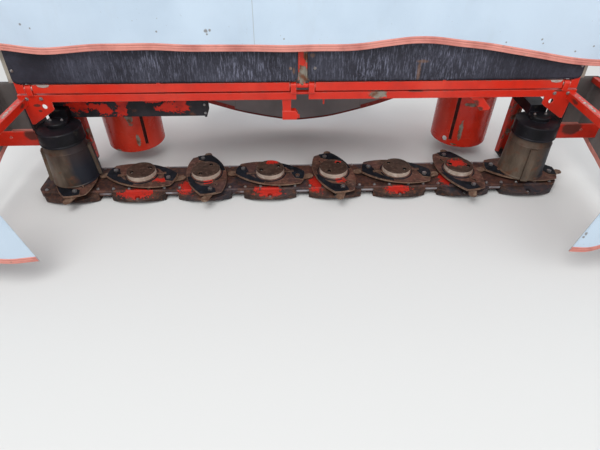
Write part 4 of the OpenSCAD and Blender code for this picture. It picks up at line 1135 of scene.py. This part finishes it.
def make_bar_bolts():
    """A bolt on each skid's nose and four along each edge of the bar, their heads turned unevenly."""
    rows = []
    for x in DISC_X:
        rows.append((x, -0.170, 0.0302, UP, 0.0085, False, x))
        for dx in (-0.13, -0.05, 0.05, 0.13):
            rows.append((x + dx, 0.112, BAR_BOLT_Z, UP, 0.0075, False, dx * 9))
            rows.append((x + dx * 1.15, -0.108, BAR_BOLT_Z, UP, 0.0080, False, dx * 7))
    add_bolts("bar_bolts", "frame", rows)


def make_frame_bolts():
    """Bolts by the hinge ears, on the end plates, collars and swath heads, and on the drive housing."""
    rows = [(x, -0.0002, 0.585, OUT, 0.008, False, 1) for x in (1.475, 1.400)]
    rows += [(1.5302, y, z, None, 0.009, True, 0) for y in (0.060, 0.155) for z in (0.42, 0.54)]
    rows += [(x, 0.0, 0.4582, UP, 0.007, True, 0) for x in (1.333, 1.397)]
    rows += [(x, y, 0.6562, UP, 0.009, True, 0) for x in (1.038, 1.162) for y in (0.380, 0.475)]
    rows = both_sides(rows)
    rows += [(x, 0.0898, 0.548, OUT, 0.0065, False, x) for x in (-1.30, -1.15, -0.95, -0.80, -0.65)]
    rows += [(-0.554, 0.0848, z, OUT, 0.006, False, 0) for z in (0.45, 0.50, 0.545)]
    add_bolts("frame_bolts", "frame", rows)


SHAFT_Z = 0.845
INPUT_R, FLANGE_R = 0.071, 0.049


def make_drive_bolts():
    """Bolts round the gearbox's input and on its feet, and round the lateral drive's flange."""
    rows = [(INPUT_R * math.cos(a), 0.4662, SHAFT_Z + INPUT_R * math.sin(a), OUT, 0.0055, False, a)
            for a in round_turns(8)]
    rows += both_sides([(0.098, y, 0.7742, UP, 0.008, True, 0) for y in (0.222, 0.298)])
    rows += [(-0.606, 0.215 + FLANGE_R * math.cos(a), SHAFT_Z + FLANGE_R * math.sin(a), (1, 0, 0), 0.005,
              False, a) for a in round_turns(6)]
    add_bolts("drive_bolts", "frame", rows)


# Bolts on the rubber sheets' strips, along the top and down the upright ones, and tabs on the lower bar
STRIP_FACE = -0.0173
TOP_BOLTS, TOP_BOLT_FROM, TOP_BOLT_RUN = 7, 0.085, GUARD_HALF - 0.12
TAB_X, TAB_Z = (-1.364, 1.383), 0.020
TAB_FACES = (-0.0138, -0.0122)
# Outline of a tab: X and height from its place
TAB_OUTLINE = [(-0.034, 0.0), (-0.026, -0.011), (0.0, -0.015), (0.026, -0.011), (0.034, 0.0)]


def make_guard_bolts():
    normal = guard_point(0, -1, 0) - guard_point(0, 0, 0)
    tops = [(TOP_BOLT_FROM + k * TOP_BOLT_RUN / (TOP_BOLTS - 1), SHEET_TOP - 0.022, 0.0070)
            for k in range(TOP_BOLTS)]
    strips = [(x, z, 0.0062) for x in (0.064, GUARD_HALF - 0.016) for z in (0.095, 0.36)]
    bm = bmesh.new()
    for side in (-1, 1):
        for x, z, size in tops + strips:
            bolt(bm, guard_point(side * x, STRIP_FACE, z), normal, size, False)
    finish_metal(bm, "guard_bolts", BOLT, "front_guard")


def make_guard_tabs():
    bm = bmesh.new()
    for x in TAB_X:
        front, back = [[bm.verts.new(guard_point(x + dx, y, TAB_Z + dz)) for dx, dz in TAB_OUTLINE]
                       for y in TAB_FACES]
        bm.faces.new(front)
        bm.faces.new(back[::-1])
        for k in range(len(front)):
            m = (k + 1) % len(front)
            bm.faces.new((front[m], front[k], back[k], back[m]))
    bmesh.ops.recalc_face_normals(bm, faces=bm.faces[:])
    finish_metal(bm, "guard_tabs", ZINC, "front_guard")


RIVET_COUNT, RIVET_HALF = 24, 1.66
RIVET_ANGLE = math.radians(18)


def make_curtain_rivets():
    bm = bmesh.new()
    normal = Vector((0, -math.cos(RIVET_ANGLE), math.sin(RIVET_ANGLE)))
    for k in range(RIVET_COUNT):
        x = -RIVET_HALF + k * 2 * RIVET_HALF / (RIVET_COUNT - 1)
        centre = RAIL + Vector((x, 0, 0)) + normal * (RAIL_WRAP + CLOTH_THICK / 2)
        lathe(bm, centre, normal, RIVET, 16)
    finish_metal(bm, "curtain_rivets", ZINC, "front_curtain")


def make_pins():
    """Washers and split pins on the hinge's pins, and the stands' lock pins."""
    washers, split_pins, lock_pins = bmesh.new(), bmesh.new(), bmesh.new()
    for side in (-1, 1):
        for x in (0.0645, 1.4245, 1.4605):
            lathe(washers, HINGE + Vector((side * x, 0, 0)), (side, 0, 0), HINGE_WASHER, 24)
        for x in (0.0725, 1.4685):
            lathe(split_pins, HINGE + Vector((side * x, 0, -0.0135)), UP, SPLIT_PIN, 12)
        lathe(lock_pins, place(side * 0.5205, 1.18, 0.690), (side, 0, 0), LOCK_PIN, 20)
    finish_metal(washers, "hinge_washers", ZINC, "front_guard")
    finish_metal(split_pins, "split_pins", ZINC, "front_guard")
    finish_metal(lock_pins, "stand_lock_pins", ZINC, "frame")


make_hub_bolts()
make_bar_bolts()
make_guard_bolts()
make_guard_tabs()
make_curtain_rivets()
make_frame_bolts()
make_drive_bolts()
make_pins()


# Floor and light

FLOOR_HALF = 40.0
SKY, SKY_POWER = (0.93, 0.95, 1.0, 1), 0.72


def make_stage():
    mesh = bpy.data.meshes.new("floor")
    corners = [(x * FLOOR_HALF, y * FLOOR_HALF, 0) for x, y in ((-1, -1), (1, -1), (1, 1), (-1, 1))]
    mesh.from_pydata(corners, [], [(0, 1, 2, 3)])
    s = Shader("floor_pale", Specular_IOR_Level=0.1, Base_Color=(0.66, 0.66, 0.64, 1), Roughness=0.9)
    mesh.materials.append(s.material)
    add_object("floor", mesh)


def make_light(name, spot, aim, size, power):
    data = bpy.data.lights.new(name, "AREA")
    data.shape = "SQUARE"
    data.size = size
    data.energy = power
    lamp = add_object(name, data)
    lamp.location = spot
    lamp.rotation_mode = "QUATERNION"
    lamp.rotation_quaternion = (Vector(aim) - Vector(spot)).to_track_quat("-Z", "Y")


def make_world():
    world = bpy.data.worlds.new("sky")
    bpy.context.scene.world = world
    world.use_nodes = True
    sky = world.node_tree.nodes["Background"]
    sky.inputs[0].default_value = SKY
    sky.inputs[1].default_value = SKY_POWER


make_stage()
make_world()
make_light("key", (-1.5, -3.2, 5.5), (0, -0.2, 0.3), 3.5, 210)
make_light("fill", (3.5, -3.0, 3.0), (0, 0, 0.4), 4.0, 60)
make_light("back", (0.5, 4.5, 4.5), (0, 0.3, 0.5), 4.0, 90)

bpy.context.scene.view_settings.view_transform = "Standard"
